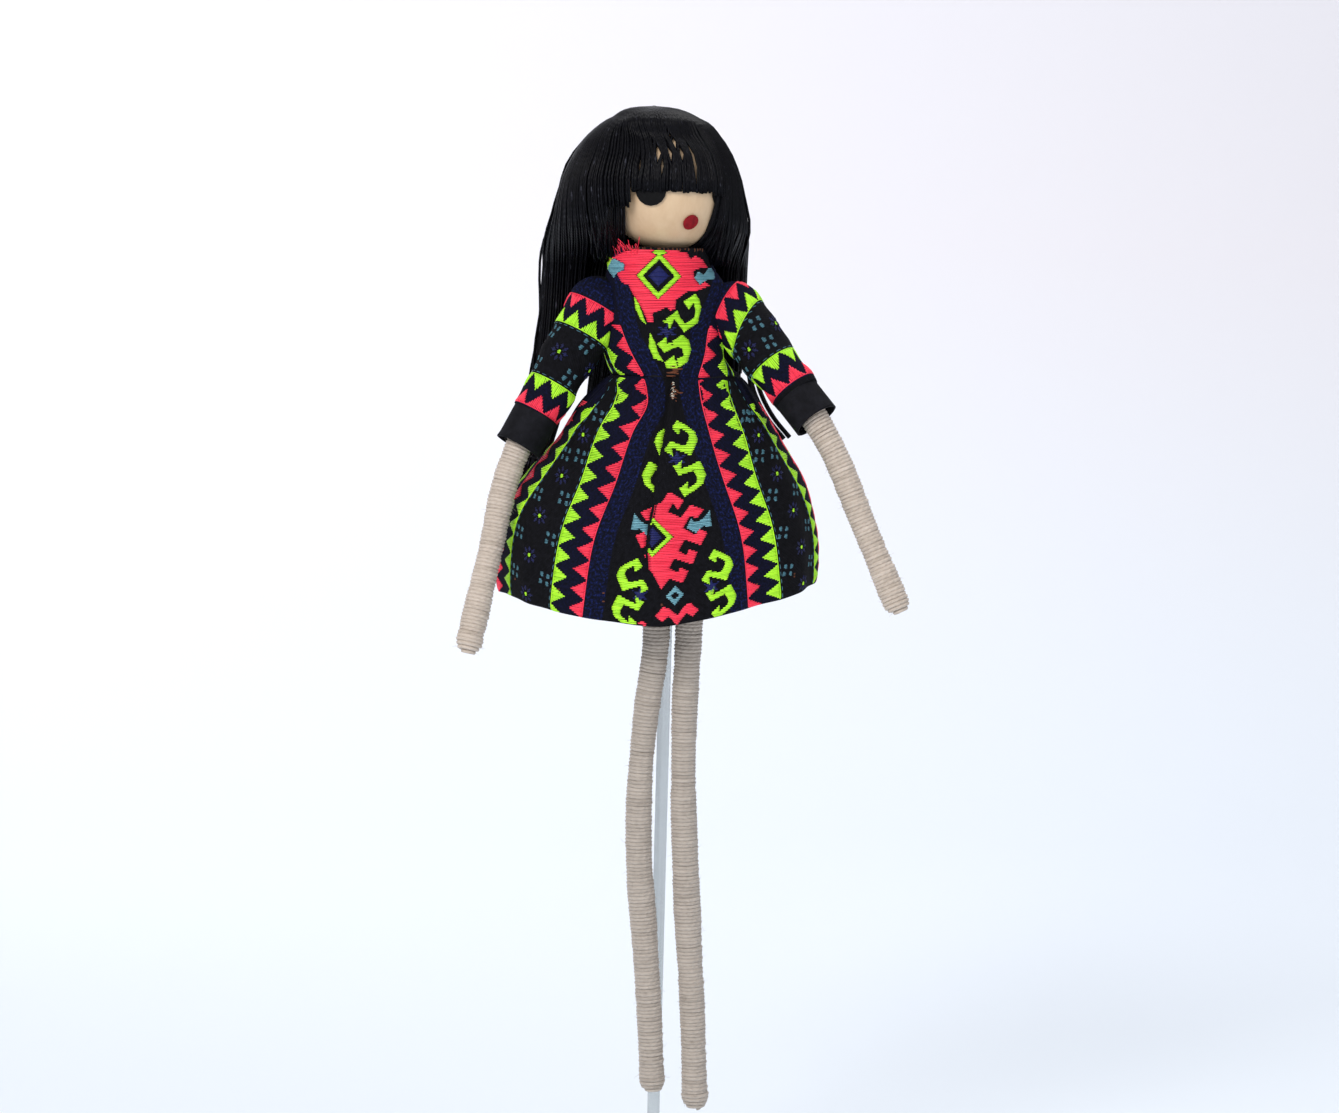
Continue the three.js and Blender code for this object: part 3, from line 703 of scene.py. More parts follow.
def skirt_cloth():
    cloth = Cloth(skirt_ring, np.linspace(0, SKIRT_LENGTH, 101), front_x=0.0)
    across = cloth.across()
    share = (cloth.measures / SKIRT_LENGTH)[:, None]
    turn = np.linspace(-math.pi, math.pi, across.shape[1])[None]
    beside = across - rounded(PLEAT, cloth.measures)
    over = smooth(-0.35, 0.35, beside)
    lap = PLEAT_RISE * over * np.exp(-np.maximum(beside, 0) / 12)
    tuck = -PLEAT_TUCK * (1 - over) * np.exp(np.minimum(beside, 0) / 4)
    depth = smooth(0.12, 0.4, share) * (1 - 0.4 * smooth(0.85, 1, share))
    folds = waves(FOLDS, turn) * (1 - share) * 0.8
    gathers = waves(GATHERS, turn) * smooth(0.55, 0.95, share) * (1 - smooth(0.97, 1, share))
    cloth.push(folds + gathers + (lap + tuck) * depth - HEM_CURL * np.exp(-share / 0.02))
    return cloth


def bodice_ring(measure):
    z = WAIST_Z + measure
    return oval(RING_TURNS, *rounded(BODICE_TABLE, np.array([z]))[0], z)


def bodice_cloth():
    cloth = Cloth(bodice_ring, np.linspace(0, BODICE_TOP - WAIST_Z, 56), front_x=0.0)
    across, along = cloth.across(), cloth.measures[:, None]
    beside = across - (along - 10) * -0.28
    pleat = smooth(-0.4, 0.4, beside) * np.exp(-np.maximum(beside, 0) / 6)
    pleat = pleat * smooth(-1, 6, along) * (1 - smooth(20, 30, along))
    creases = 0.45 * np.sin(across / 3.1 + along / 5) * (1 - smooth(0, 16, along))
    creases = creases + 0.35 * np.sin(across / 5.3 - along / 3.7 + 1)
    cloth.push(pleat + creases)
    return cloth


def sleeve_cloth(side, start, finish, radius):
    """Rings round the arm; a ring's measure is its distance from the shoulder along the arm."""
    shoulder, elbow = np.array(SHOULDERS[side]), np.array(ELBOWS[side])
    ahead = unit(elbow - shoulder)
    front = unit(np.array([0.0, -1.0, 0.0]) - ahead * -ahead[1])
    right = np.cross(ahead, front)

    def ring(measure):
        turn = np.linspace(-math.pi, math.pi, 181)[:, None]
        return shoulder + ahead * measure + (right * np.sin(turn) + front * np.cos(turn)) * radius(measure)

    return Cloth(ring, np.linspace(start, finish, int((finish - start) / 0.7) + 2), columns=240)


NODE_LOOKS = {"_wire": "wire", "_padding": "padding", "_knot": "arm", "torso_core": "calico",
              "neck_peg": "bead",
              "eye_": "eye", "mouth": "mouth"}


def make_looks_of_nodes():
    """Every CAD node gets a node material, the replaced ones too."""
    for name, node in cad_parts.items():
        look = next((look for part, look in NODE_LOOKS.items() if part in name), "lining")
        for slot in node.material_slots:
            slot.link = "OBJECT"
            slot.material = LOOKS[look].material


# ---- Embroidery -----------------------------------------------------------------------------

STITCH_PITCH = 0.66
FINE_PITCH = 0.5
STITCH_HALF = 0.35
STITCH_LIFT = 0.3
STITCH_SINK = 0.12
STITCH_STEP = 1.5
SHORTEST_STITCH = 0.35
# How far from a motif's true outline a stitch starts, and from its true row it lies.
END_SCATTER, ROW_SCATTER = 0.07, 0.03
LINE_SIZE = {"half": 0.22, "lift": 0.18}
DASH_SIZE = {"half": 0.17, "lift": 0.16}
DASH_LENGTH = 2.2


class Stitches:
    """Threads lying on a cloth, gathered by colour."""

    def __init__(self, cloth):
        self.cloth = cloth
        self.paths = {}

    def add(self, colour, across, along, half=STITCH_HALF, lift=STITCH_LIFT):
        places = np.stack(np.broadcast_arrays(across, along)).astype(float)
        self.paths.setdefault(colour, []).append((places, half, lift))

    def row(self, colour, start, finish, along, swap=False, **sizes):
        """One straight stitch across the pattern; swap exchanges across and along, as on the sleeves."""
        if finish - start < SHORTEST_STITCH:
            return
        start, finish = start + RANDOM.normal(0, END_SCATTER), finish + RANDOM.normal(0, END_SCATTER)
        count = max(3, int((finish - start) / STITCH_STEP) + 2)
        places = np.linspace(start, finish, count)
        line = along + RANDOM.normal(0, ROW_SCATTER)
        self.add(colour, *((line, places) if swap else (places, line)), **sizes)

    def pieces(self, name):
        """One mesh for each colour."""
        made = []
        for colour, paths in self.paths.items():
            shape = Shape()
            points, normals = self.cloth.at(*np.concatenate([path[0] for path in paths], axis=1))
            at = 0
            for number, (places, half, lift) in enumerate(paths):
                stop = at + places.shape[1]
                add_thread(shape, points[at:stop], normals[at:stop], half, lift, number)
                at = stop
            made.append(shape.piece(f"{name}_{colour}", colour, slot="brocade"))
        return made


def add_thread(shape, line, out, half, lift, number):
    """One thread with a low rounded back, whose ends go down into the cloth."""
    side = np.cross(out, unit(np.gradient(line, axis=0))) * half
    rise = np.full(len(line), lift)
    rise[[0, -1]] = -0.02
    back = line + out * rise[:, None]
    base = line - out * STITCH_SINK
    ring = np.stack([base - side, back - side * 0.55, back + side * 0.55, base + side], axis=1)
    uv = np.zeros((len(line), 5, 2))
    uv[..., 0] = lengths_along(line)[:, None]
    uv[..., 1] = number * 1.7 + np.linspace(0, 1, 5)
    shape.grid(ring, uv, around=True, caps=True)


def spans(polygons, y):
    """Where a horizontal line crosses a set of polygons, as merged (start, finish) pairs."""
    found = []
    for polygon in polygons:
        a = np.asarray(polygon, float)
        b = np.roll(a, -1, axis=0)
        crossing = (a[:, 1] > y) != (b[:, 1] > y)
        p, q = a[crossing], b[crossing]
        xs = np.sort(p[:, 0] + (y - p[:, 1]) / (q[:, 1] - p[:, 1]) * (q[:, 0] - p[:, 0]))
        found.extend(zip(xs[::2], xs[1::2]))
    merged = []
    for start, finish in sorted(found):
        if merged and start <= merged[-1][1]:
            merged[-1][1] = max(merged[-1][1], finish)
        else:
            merged.append([start, finish])
    return merged


SHORTEST_SPAN = 0.05


def without(kept, holes):
    """Spans with the holes cut out, in order."""
    for low, high in holes:
        parts = [(start, min(finish, low)) for start, finish in kept]
        parts += [(max(start, high), finish) for start, finish in kept]
        kept = sorted(part for part in parts if part[1] - part[0] > SHORTEST_SPAN)
    return kept


def diamond(half_width, half_height):
    return [(half_width, 0), (0, half_height), (-half_width, 0), (0, -half_height)]


# Outlines of the motifs, in millimetres from each one's middle.
HOOK = [(-1.9, 7.2), (2.1, 5.0), (5.5, 2.5), (6.7, -1.2), (4.0, -7.1), (0.5, -5.5), (-3.3, -4.1),
        (-2.9, -7.5), (-6.6, -5.0), (-4.3, -1.2), (-1.4, -2.2), (1.4, -3.1), (3.0, 0), (2.7, 1.8),
        (-0.4, 3.8), (-0.6, 1.2), (-4.1, 3.8)]
MEDALLION_RIGHT = [(-3, 10), (0.2, 12.5), (3.2, 14), (5.2, 17.5), (7.5, 17.2), (11.8, 14.3), (9.5, 10.5),
                   (7.5, 13.2), (5.8, 10), (10.7, 7.6), (13.8, 12), (14.5, 12.5), (19.8, 10), (17.5, 6.8),
                   (14.2, 7.6), (11.9, 3.3), (16.5, 0), (18, 2.2), (21.5, 0.5), (19, -4.5), (12.5, -1.5),
                   (10.2, -5.8), (13.5, -7.8), (14, -5.5), (17.8, -7), (16, -12), (8.5, -8.8),
                   (6.8, -12.5), (10.2, -14.5), (10.8, -12.5), (14.5, -14.5), (12.2, -19.2), (7, -16.8),
                   (3.8, -20.8), (0, -14), (-3, -10)]
MEDALLION_POINT = [(0, 14), (-6, 9), (-10, 0), (-6, -9), (0, -14)]
FISH = [(12.8, 3.2), (14.8, 7.0), (16.2, 5.2), (19, 6), (22.1, 9.4), (23.4, 2.5), (19.8, 3.2), (17, 0.8)]
STAR = [(0, 3.6), (0.9, 1.2), (3.4, 2.0), (1.6, 0), (3.4, -2.0), (0.9, -1.2), (0, -3.6), (-0.9, -1.2),
        (-3.4, -2.0), (-1.6, 0), (-3.4, 2.0), (-0.9, 1.2)]
M_SHAPE = [(-8.4, 4.6), (-5.4, 8.4), (-3.0, 7.4), (0.4, 4.2), (3, 7.6), (5.2, 8.6), (9, 4.8), (6.6, 2.4),
           (4, 4.2), (0.6, 0.3), (0, 0.3), (-3, 4), (-5.6, 2)]
GREEN_DIAMOND, DARK_DIAMOND, BLUE_DIAMOND = (7.9, 7.7), (5.3, 5.5), (3.7, 3.9)


def turned(points, mirror=1, flip=1, move=(0, 0)):
    return [(x * mirror + move[0], y * flip + move[1]) for x, y in points]


def fill(stitches, colour, polygons, origin, holes=(), keep=None, pitch=STITCH_PITCH):
    """Rows of stitches over polygons given about an origin. keep says which side of the pleat shows."""
    heights = [p[1] for polygon in polygons for p in polygon]
    low, high = min(heights), max(heights)
    top = stitches.cloth.measures[-1]
    for y in np.arange(low + pitch / 2, high, pitch):
        along = origin[1] + y
        if not 0.3 < along < top - 0.3:
            continue
        for start, finish in without(spans(polygons, y), spans(holes, y)):
            cut = keep(along) if keep else (-math.inf, math.inf)
            a, b = max(origin[0] + start, cut[0]), min(origin[0] + finish, cut[1])
            stitches.row(colour, a, b, along, half=pitch * 0.53)


def medallion(stitches, origin, keep, mirror=1, whole=False):
    """The coral medallion with its hooked arms, its diamond and its light-blue fish. Half of one has a plain
    pointed side towards the pleat."""
    sides = (mirror, -mirror) if whole else (mirror,)
    parts = [turned(MEDALLION_RIGHT, way) for way in sides]
    if not whole:
        parts.append(turned(MEDALLION_POINT, mirror))
    fill(stitches, "coral", parts, origin, [diamond(*GREEN_DIAMOND)], keep)
    fill(stitches, "green", [diamond(*GREEN_DIAMOND)], origin, [diamond(*DARK_DIAMOND)], keep)
    fill(stitches, "royal", [diamond(*BLUE_DIAMOND)], origin, (), keep)
    for way in sides:
        fill(stitches, "sky", [turned(FISH, way)], origin, (), keep)


def hook(stitches, origin, mirror, flip, keep=None):
    fill(stitches, "green", [turned(HOOK, mirror, flip)], origin, (), keep)


def pleat_edge(along):
    return float(rounded(PLEAT, np.array([along]))[0, 0])


def over_pleat(along):
    """The span that shows to the right of the pleat's edge, on top."""
    return pleat_edge(along) + 0.3, math.inf


def under_pleat(along):
    return -math.inf, pleat_edge(along) - 0.5


def front_motifs(stitches):
    """The skirt's front column, cut by the pleat into a right part on top and a left part under it."""
    for x, y, mirror, flip in ((20, 22.1, 1, 1), (21.9, 6.2, 1, -1), (-13.5, 20.5, -1, 1),
                               (-15.3, 4.9, -1, -1)):
        hook(stitches, (x, y), mirror, flip)
    for x, y in ((17.6, 13.5), (-10.4, 12.6)):
        fill(stitches, "royal", [STAR], (x, y), pitch=FINE_PITCH)
    fill(stitches, "coral", [M_SHAPE], (4, 0))
    fill(stitches, "coral", [[(-14, 1), (-12.4, 2.4), (-10.2, 0.8), (-11, 0)]], (3, 0))
    fill(stitches, "sky", [diamond(3.7, 4.0)], (3.2, 12.4), [diamond(1.7, 1.5)])
    medallion(stitches, (-6.0, 36.2), over_pleat)
    medallion(stitches, (8.6, 36.2), under_pleat, -1)
    for x, y, mirror, flip, keep in ((4.0, 75.4, 1, 1, over_pleat), (7.7, 59.2, 1, -1, over_pleat),
                                     (0.1, 75.4, -1, 1, under_pleat), (-4.4, 59.7, -1, -1, under_pleat)):
        hook(stitches, (x, y), mirror, flip, keep)
    fill(stitches, "royal", [turned(STAR, 1.2)], (2.6, 67), (), over_pleat)


def back_motifs(stitches, lines, side):
    """The next whole column, whose middle is six lines out, on either side of the back seam."""
    def middle(along):
        real, _ = pattern_lines(lines, side, np.array([along]))
        return side * float(real[6, 0] + real[7, 0]) / 2

    for low, wide in ((0, 17.5), (50, 11.5)):
        for away in (1, -1):
            hook(stitches, (middle(low + 18) + away * wide, low + 19), away, 1)
            hook(stitches, (middle(low + 5) + away * (wide + 0.9), low + 5), away, -1)
    medallion(stitches, (middle(34), 34.5), None, whole=True)
    fill(stitches, "coral", [M_SHAPE], (middle(2), 0))
    fill(stitches, "sky", [diamond(3.9, 4.4)], (middle(12), 12), [diamond(1.7, 1.9)])


TRIANGLE_PITCH = 8.4
TRIANGLE_HEIGHT = 6.3


def triangle_share(along, phase):
    """How much of a triangle's height is filled at a place along its stripe."""
    part = ((along / TRIANGLE_PITCH) + phase) % 1.0
    return max(0.0, 1 - abs(2 * part - 1) * 1.06)


def stripe_pair(stitches, along, coral_base, green_base, way, phase, swap=False, width=1.0):
    """The coral and green rows of a triangle stripe at one place. way leads from its coral line into it."""
    for colour, base, into, shift in (("coral", coral_base, way, phase),
                                      ("green", green_base, -way, phase + 0.5)):
        tip = base + into * triangle_share(along, shift) * TRIANGLE_HEIGHT * width
        stitches.row(colour, min(base, tip), max(base, tip), along, swap)


def petals(stitches, colour, centre, count, start, reach, half_width):
    """Lens-shaped petals round a point, from a little way out to their reach."""
    outline = np.array([(0.3, 0), (0.65, 1), (1, 0), (0.65, -1)]) * (reach, half_width)
    for k in range(count):
        angle = start + k * 2 * math.pi / count
        way = np.array([(math.cos(angle), math.sin(angle)), (-math.sin(angle), math.cos(angle))])
        fill(stitches, colour, [outline @ way], centre, pitch=FINE_PITCH)


def flower(stitches, centre):
    """Four light-blue petals in a cross."""
    petals(stitches, "teal", centre, 4, math.radians(35), 3.6, 1.15)


def rosette(stitches, centre):
    """A dark eight-petalled flower with a light-green knot."""
    petals(stitches, "night", centre, 8, 0.0, 4.0, 0.8)
    knot = [(0.8 * math.cos(t), 0.8 * math.sin(t)) for t in np.arange(8) * math.pi / 4]
    fill(stitches, "green", [knot], centre, pitch=FINE_PITCH)


ROSETTE_PITCH = 17.4
ROSETTE_ROOM, FLOWER_PAIR_ROOM, FLOWER_FROM_EDGE = 4.0, 5.5, 4.6
SECOND_STRIPES_TO = 88.0
WHOLE_STRIPE = 14.0


def flower_band(stitches, middle, half, low, high, swap=False):
    """Rosettes down the middle of a band, with four-petalled flowers between them near its edges."""
    for k, along in enumerate(np.arange(low, high, ROSETTE_PITCH / 2)):
        centre, reach = middle(along), half(along)
        if k % 2 == 0 and reach > ROSETTE_ROOM:
            rosette(stitches, (along, centre) if swap else (centre, along))
        elif k % 2:
            for side in (-1, 1) if reach > FLOWER_PAIR_ROOM else (1,):
                place = centre + side * max(reach - FLOWER_FROM_EDGE, 0.0)
                flower(stitches, (along, place) if swap else (place, along))


def long_line(stitches, colour, across_at, low, high, dashed=False):
    """A line down the cloth, whole or in running stitches."""
    if dashed:
        for start in np.arange(low + 0.5, high - DASH_LENGTH, DASH_LENGTH * 1.55):
            along = np.linspace(start, start + DASH_LENGTH, 4)
            stitches.add(colour, across_at(along), along, **DASH_SIZE)
    else:
        along = np.arange(low, high, 1.2)
        stitches.add(colour, across_at(along), along, **LINE_SIZE)


def stripes_down(stitches, lines, low, high, reach):
    """All the triangle stripes, flower bands and lines of a skirt or bodice."""
    for along in np.arange(low, high, STITCH_PITCH):
        for side, phase in ((LEFT, 0.1), (RIGHT, 0.45)):
            real = side * pattern_lines(lines, side, np.array([along]))[0][:, 0]
            for coral, green, way in ((2, 3, 1), (5, 4, -1), (8, 9, 1)):
                outer = max(abs(real[coral]), abs(real[green]))
                if outer < reach(along) and (coral == 2 or along < SECOND_STRIPES_TO):
                    share = min(1.0, abs(real[green] - real[coral]) / WHOLE_STRIPE)
                    stripe_pair(stitches, along, real[coral], real[green], side * way, phase, width=share)
    for side in (LEFT, RIGHT):
        def line_at(number, out=0.0):
            return lambda along: side * (pattern_lines(lines, side, along)[0][number] + out)

        def band(along):
            return pattern_lines(lines, side, np.array([along]))[0][3:5, 0]

        for number, colour in ((2, "coral"), (3, "green"), (4, "green"), (5, "coral")):
            stop = high if number < 4 else min(high, SECOND_STRIPES_TO)
            long_line(stitches, colour, line_at(number), low, stop)
        for number, out in ((3, 0.9), (4, -0.9)):
            long_line(stitches, "teal", line_at(number, out), low, high, dashed=True)
        flower_band(stitches, lambda along: side * float(band(along).mean()),
                    lambda along: float(np.diff(band(along))[0]) / 2, low + 4, high - 4)


def skirt_embroidery(cloth):
    def reach(along):
        return float(np.interp(along, cloth.measures, cloth.right)) - 1.5

    stitches = Stitches(cloth)
    stripes_down(stitches, SKIRT_LINES, 0.4, SKIRT_LENGTH - 1, reach)
    front_motifs(stitches)
    for side in (LEFT, RIGHT):
        back_motifs(stitches, SKIRT_LINES, side)
    for _ in range(16):
        stitches.row("brown", *sorted(RANDOM.normal(0.6, 1.1, 2)), RANDOM.uniform(87, 98))
        stitches.row("calico", *sorted(RANDOM.normal(0.6, 0.6, 2)), RANDOM.uniform(90, 98), half=0.2)
    for across in np.arange(-150, 151, 21.0):
        place = across + RANDOM.normal(0, 2.0)
        for _ in range(2):
            stitches.row("brown", place - 0.5, place + 0.5, 9.5 + RANDOM.normal(0, 0.8))
    return stitches


# The neck's motifs, in millimetres from the middle of its diamond, as seen from the front.
NECK_MEDALLION = [(-19.6, 5.6), (-17, 7.2), (-12, 9.8), (-4, 10.2), (4, 10.2), (10.5, 9.6), (12, 7.0),
                  (13.5, 8.2), (16.5, 6.8), (18.2, 3.8), (15, 3.2), (13.3, 2.2), (13.5, -0.4), (16, -1.4),
                  (17.8, -3.3), (13, -6), (11.5, -5.5), (7, -9.3), (6.8, -12.8), (4.8, -13.5),
                  (3.5, -12.3), (-2, -14.8), (-1.5, -18.2), (-4, -18.2), (-6.5, -12.8), (-9.5, -8.3),
                  (-11.5, -3.8), (-14, -3.2), (-16, -0.2)]
NECK_FISH = [[(-19.8, 2.3), (-18.2, 5.8), (-17, 6.3), (-13.5, 4.3), (-13.8, 1.8), (-16, 0.8),
              (-17.2, -1.3), (-19, 0.8)],
             [(13.3, -0.3), (14.8, 2.3), (16.5, 1), (18, 3.2), (19.4, 3.8), (19.8, 1.8), (19.2, -0.8),
              (17.5, -1), (15, -3)]]
NECK_GREENS = [[(-9.8, -7.8), (-7.5, -11.3), (-6.3, -14.8), (-4.3, -19.3), (-7, -17.3), (-9.3, -12.8)],
               [(-2.9, -21.8), (-0.5, -26.3), (0.5, -29.8), (2.8, -33.5), (-1.3, -32.3), (-3.3, -27.8)],
               [(-3.2, 9), (-1.6, 10.2), (1.6, 10.2), (3.2, 9), (0, 8)]]
UPPER_NECK_HOOK = [(5.2, 7.6), (6.9, 5.4), (7.7, 2.1), (6.7, -3.9), (0.9, -7.7), (-1.1, -5.2),
                   (-3.1, -2.7), (-4.6, -6.7), (-7.6, -3.4), (-1.9, 0.9), (-0.6, -2.2), (1.4, -4.2),
                   (4.9, -1.7), (5.2, 0.9), (4.4, 3.6), (2.7, 1.1), (0.2, 4.4)]
LOWER_NECK_HOOK = [(2.9, 6.9), (5.9, 4.6), (6.9, 1.1), (5.4, -3.9), (1.7, -6.2), (-2.9, -6.4), (-3.9, -4.2),
                   (-0.1, -1.2), (0.3, -2.9), (3.7, -1.4), (2.9, 1.4), (1.4, 2.1), (-3.9, -0.4), (-6.9, 2.9),
                   (-3.1, 6.1), (-2.9, 3.1)]
NECK_DIAMONDS = (9.0, 9.1), (6.2, 6.4), (4.2, 4.2)
NECK_ROUND = 20.5


def wrapped(points):
    """Front-view distances as distances round the neck."""
    return [(NECK_ROUND * math.asin(max(-0.985, min(0.985, x / NECK_ROUND))), y) for x, y in points]


def bodice_embroidery(cloth):
    stitches = Stitches(cloth)
    top = BODICE_TOP - WAIST_Z
    stripes_down(stitches, BODICE_LINES, 0.4, 20.5, lambda along: 36.0)
    centre = (-6.4, 39.6)
    green, dark, blue = (diamond(*size) for size in NECK_DIAMONDS)
    fish = [wrapped(outline) for outline in NECK_FISH]
    fill(stitches, "coral", [wrapped(NECK_MEDALLION)], centre, [green, *NECK_GREENS, *fish])
    fill(stitches, "green", [green, *NECK_GREENS], centre, [dark], pitch=FINE_PITCH)
    fill(stitches, "royal", [blue], centre, pitch=FINE_PITCH)
    for outline in fish:
        fill(stitches, "sky", [outline], centre, pitch=FINE_PITCH)
    fill(stitches, "green", [UPPER_NECK_HOOK], (3.2, 25.5), pitch=FINE_PITCH)
    fill(stitches, "green", [LOWER_NECK_HOOK], (0.5, 10.0), pitch=FINE_PITCH)
    fill(stitches, "royal", [turned(STAR, 1.3)], (-2.6, 18.1))
    fill(stitches, "green", [[(-35, 44), (-29, 48), (-27.5, 46), (-32, 41.5)]], (0, 0))
    for _ in range(26):
        stitches.row("brown", *sorted(RANDOM.normal(0.5, 1.2, 2)), RANDOM.uniform(0.5, 5))
    for across in np.arange(-20, 14, 1.7):
        place = across + RANDOM.normal(0, 0.4)
        deep = RANDOM.uniform(0.8, 2.2)
        heights = [top - deep, top - deep / 2, top - 0.1]
        stitches.add("brown", [place, place + 0.2, place], heights, half=0.3, lift=0.2)
    return stitches


SLEEVE_CORAL, SLEEVE_GREEN, SLEEVE_STRIPE = 1.0, 13.2, 12.8
# How the stripes sit on each sleeve: the shift of the upper and the lower ones, the lean of the upper ones,
# and where their triangles start.
SLEEVE_SET = {"L": (0.0, 0.0, 0.0, 0.3), "R": (-4.0, -2.5, 0.16, 0.05)}


def sleeve_lines(side, cuff_start):
    """Coral, green, lower green and lower coral line of a sleeve, from the shoulder at the sleeve's front."""
    upper, lower = SLEEVE_SET[side][:2]
    last = cuff_start - 0.3 + lower
    return SLEEVE_CORAL + upper, SLEEVE_GREEN + upper, last - SLEEVE_STRIPE, last


def half_round(cloth):
    """Half the sleeve's girth at the middle of its length."""
    return float(cloth.right[len(cloth.right) // 2])


def leaning(cloth, side, around):
    """How far a sleeve's upper stripes shift along it, at a place round it."""
    half = half_round(cloth)
    return SLEEVE_SET[side][2] * half * np.sin(around / half * math.pi)


def sleeve_embroidery(cloth, side, lines):
    stitches = Stitches(cloth)
    coral, green, lower_green, lower_coral = lines
    half = half_round(cloth)
    phase = SLEEVE_SET[side][3]
    for around in np.arange(-half + 0.8, half - 0.8, STITCH_PITCH):
        shift = leaning(cloth, side, around)
        stripe_pair(stitches, around, coral + shift, green + shift, 1, phase, swap=True)
        stripe_pair(stitches, around, lower_coral, lower_green, -1, phase, swap=True)
    ring = np.arange(-half, half + 0.1, 1.5)
    shifts = leaning(cloth, side, ring)
    for colour, at in (("coral", coral + shifts), ("green", green + shifts), ("green", lower_green),
                       ("coral", lower_coral)):
        stitches.add(colour, ring, at, **LINE_SIZE)
    for start in np.arange(-half + 1, half - 3, 3.4):
        dash = np.linspace(start, start + DASH_LENGTH, 4)
        shift = leaning(cloth, side, start + DASH_LENGTH / 2)
        stitches.add("teal", dash, green + 0.9 + shift, **DASH_SIZE)
        stitches.add("teal", dash, lower_green - 0.9, **DASH_SIZE)
    flower_band(stitches, lambda around: (green + lower_green + leaning(cloth, side, around)) / 2,
                lambda _: (lower_green - green) / 2, -half + 4, half - 3, swap=True)
    return stitches


# ---- Dress ----------------------------------------------------------------------------------

def line_inside(cloth_piece):
    """Gives the inner half of a cloth skin's faces the lining's look."""
    cloth_piece.data.materials.append(LOOKS["lining"].material)
    count = len(cloth_piece.data.polygons)
    inside = (np.arange(count) > count // 2).astype(np.int32)
    cloth_piece.data.polygons.foreach_set("material_index", inside)


def torso_cloth(name, cloth, lines, sew, replaces):
    """A cloth of the torso with its embroidery, sewn by the function given."""
    shape = Shape()
    cloth.sheet(shape, pattern_marks(cloth, lines), CLOTH, 2)
    made = shape.piece(f"{name}_cloth", "brocade", "torso", "brocade", replaces)
    threads = sew(cloth).pieces(f"{name}_stitching")
    for thread in threads:
        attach(thread, "torso")
    return made


def make_skirt():
    skirt = torso_cloth("skirt", skirt_cloth(), SKIRT_LINES, skirt_embroidery, ("skirt",))
    line_inside(skirt)


FRAY_FIBRES = 34
FRAY_ACROSS, FRAY_ALONG, FRAY_RADIUS = (-29, -14), (46.5, 50.5), 0.14
PIPING_INSET, PIPING_RADIUS = 0.9, 0.8


def make_bodice():
    cloth = bodice_cloth()
    torso_cloth("bodice", cloth, BODICE_LINES, bodice_embroidery, ("bodice", "collar"))
    fray = Shape()
    for _ in range(FRAY_FIBRES):
        places = [np.array([RANDOM.uniform(*limits)]) for limits in (FRAY_ACROSS, FRAY_ALONG)]
        base, out = (found[0] for found in cloth.at(*places))
        way = unit(out * RANDOM.uniform(0.1, 0.7) + (RANDOM.normal(0, 0.45), 0, 1))
        reach = RANDOM.uniform(2, 5.5)
        tube(fray, [base, base + way * reach * 0.6, base + way * reach + out * 0.5], FRAY_RADIUS, 4)
    fray.piece("collar_fray", "coral", "torso", "brocade")


def make_waist_piping():
    seam = Shape()
    turn = np.linspace(0, 2 * math.pi, 97)
    centre, width, depth = rounded(BODICE_TABLE, np.array([WAIST_Z]))[0]
    ring = oval(turn, centre, width - PIPING_INSET, depth - PIPING_INSET, WAIST_Z + 0.3 * np.sin(9 * turn))
    tube(seam, ring, PIPING_RADIUS + 0.12 * np.sin(17 * turn), 8)
    seam.piece("waist_piping", "cuff", "torso", "brocade", ("waist_seam",))


CUFF_TRIM = {"L": 0.0, "R": 2.0}
SLEEVE_UNDER_CUFF = 0.4


def cuff_ends(side):
    """Where the cuff starts and ends, along the arm from the shoulder."""
    end = float(np.linalg.norm(np.subtract(ELBOWS[side], SHOULDERS[side]))) - CUFF_TO_ELBOW
    return end - CUFF_LENGTH, end


def make_sleeve(side):
    cuff_start, _ = cuff_ends(side)
    crown = SLEEVE_TOP_RADIUS * 0.985

    def sleeve_radius(s):
        dome = math.sqrt(SLEEVE_TOP_RADIUS ** 2 - min(s, 0) ** 2)
        taper = (SLEEVE_TOP_RADIUS - SLEEVE_END_RADIUS) * max(s, 0) / cuff_start
        return dome - taper

    cloth = sleeve_cloth(side, -crown, cuff_start + SLEEVE_UNDER_CUFF, sleeve_radius)
    across, along = cloth.across(), cloth.measures[:, None]
    ripple = 0.4 * np.sin(along / 4.1 + across / 7) + 0.3 * np.sin(along / 2.3 - across / 5)
    cloth.push(ripple * smooth(2, 12, along))
    lines = sleeve_lines(side, cuff_start)
    shift = leaning(cloth, side, across) * (1 - smooth(lines[1], lines[2], along))
    whole = 2 * REPEAT_HALF
    own = [NAVY_START - 5, CORAL_LINE, GREEN_LINE, whole - GREEN_LINE, whole - CORAL_LINE - 0.5,
           whole - NAVY_START + 1]
    pattern = np.interp(along - shift, (-crown - 4, *lines, lines[-1] + 0.5), own)
    shape = Shape()
    cloth.sheet(shape, np.stack([pattern, across], axis=2), CLOTH, 2)
    sleeve = shape.piece(f"sleeve_{side}_cloth", "brocade", None, "brocade", (f"sleeve_{side}",))
    threads = sleeve_embroidery(cloth, side, lines).pieces(f"sleeve_{side}_stitching")
    ahead = unit(np.subtract(ELBOWS[side], SHOULDERS[side]))
    for cloth_piece in [sleeve, *threads]:
        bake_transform(cloth_piece)


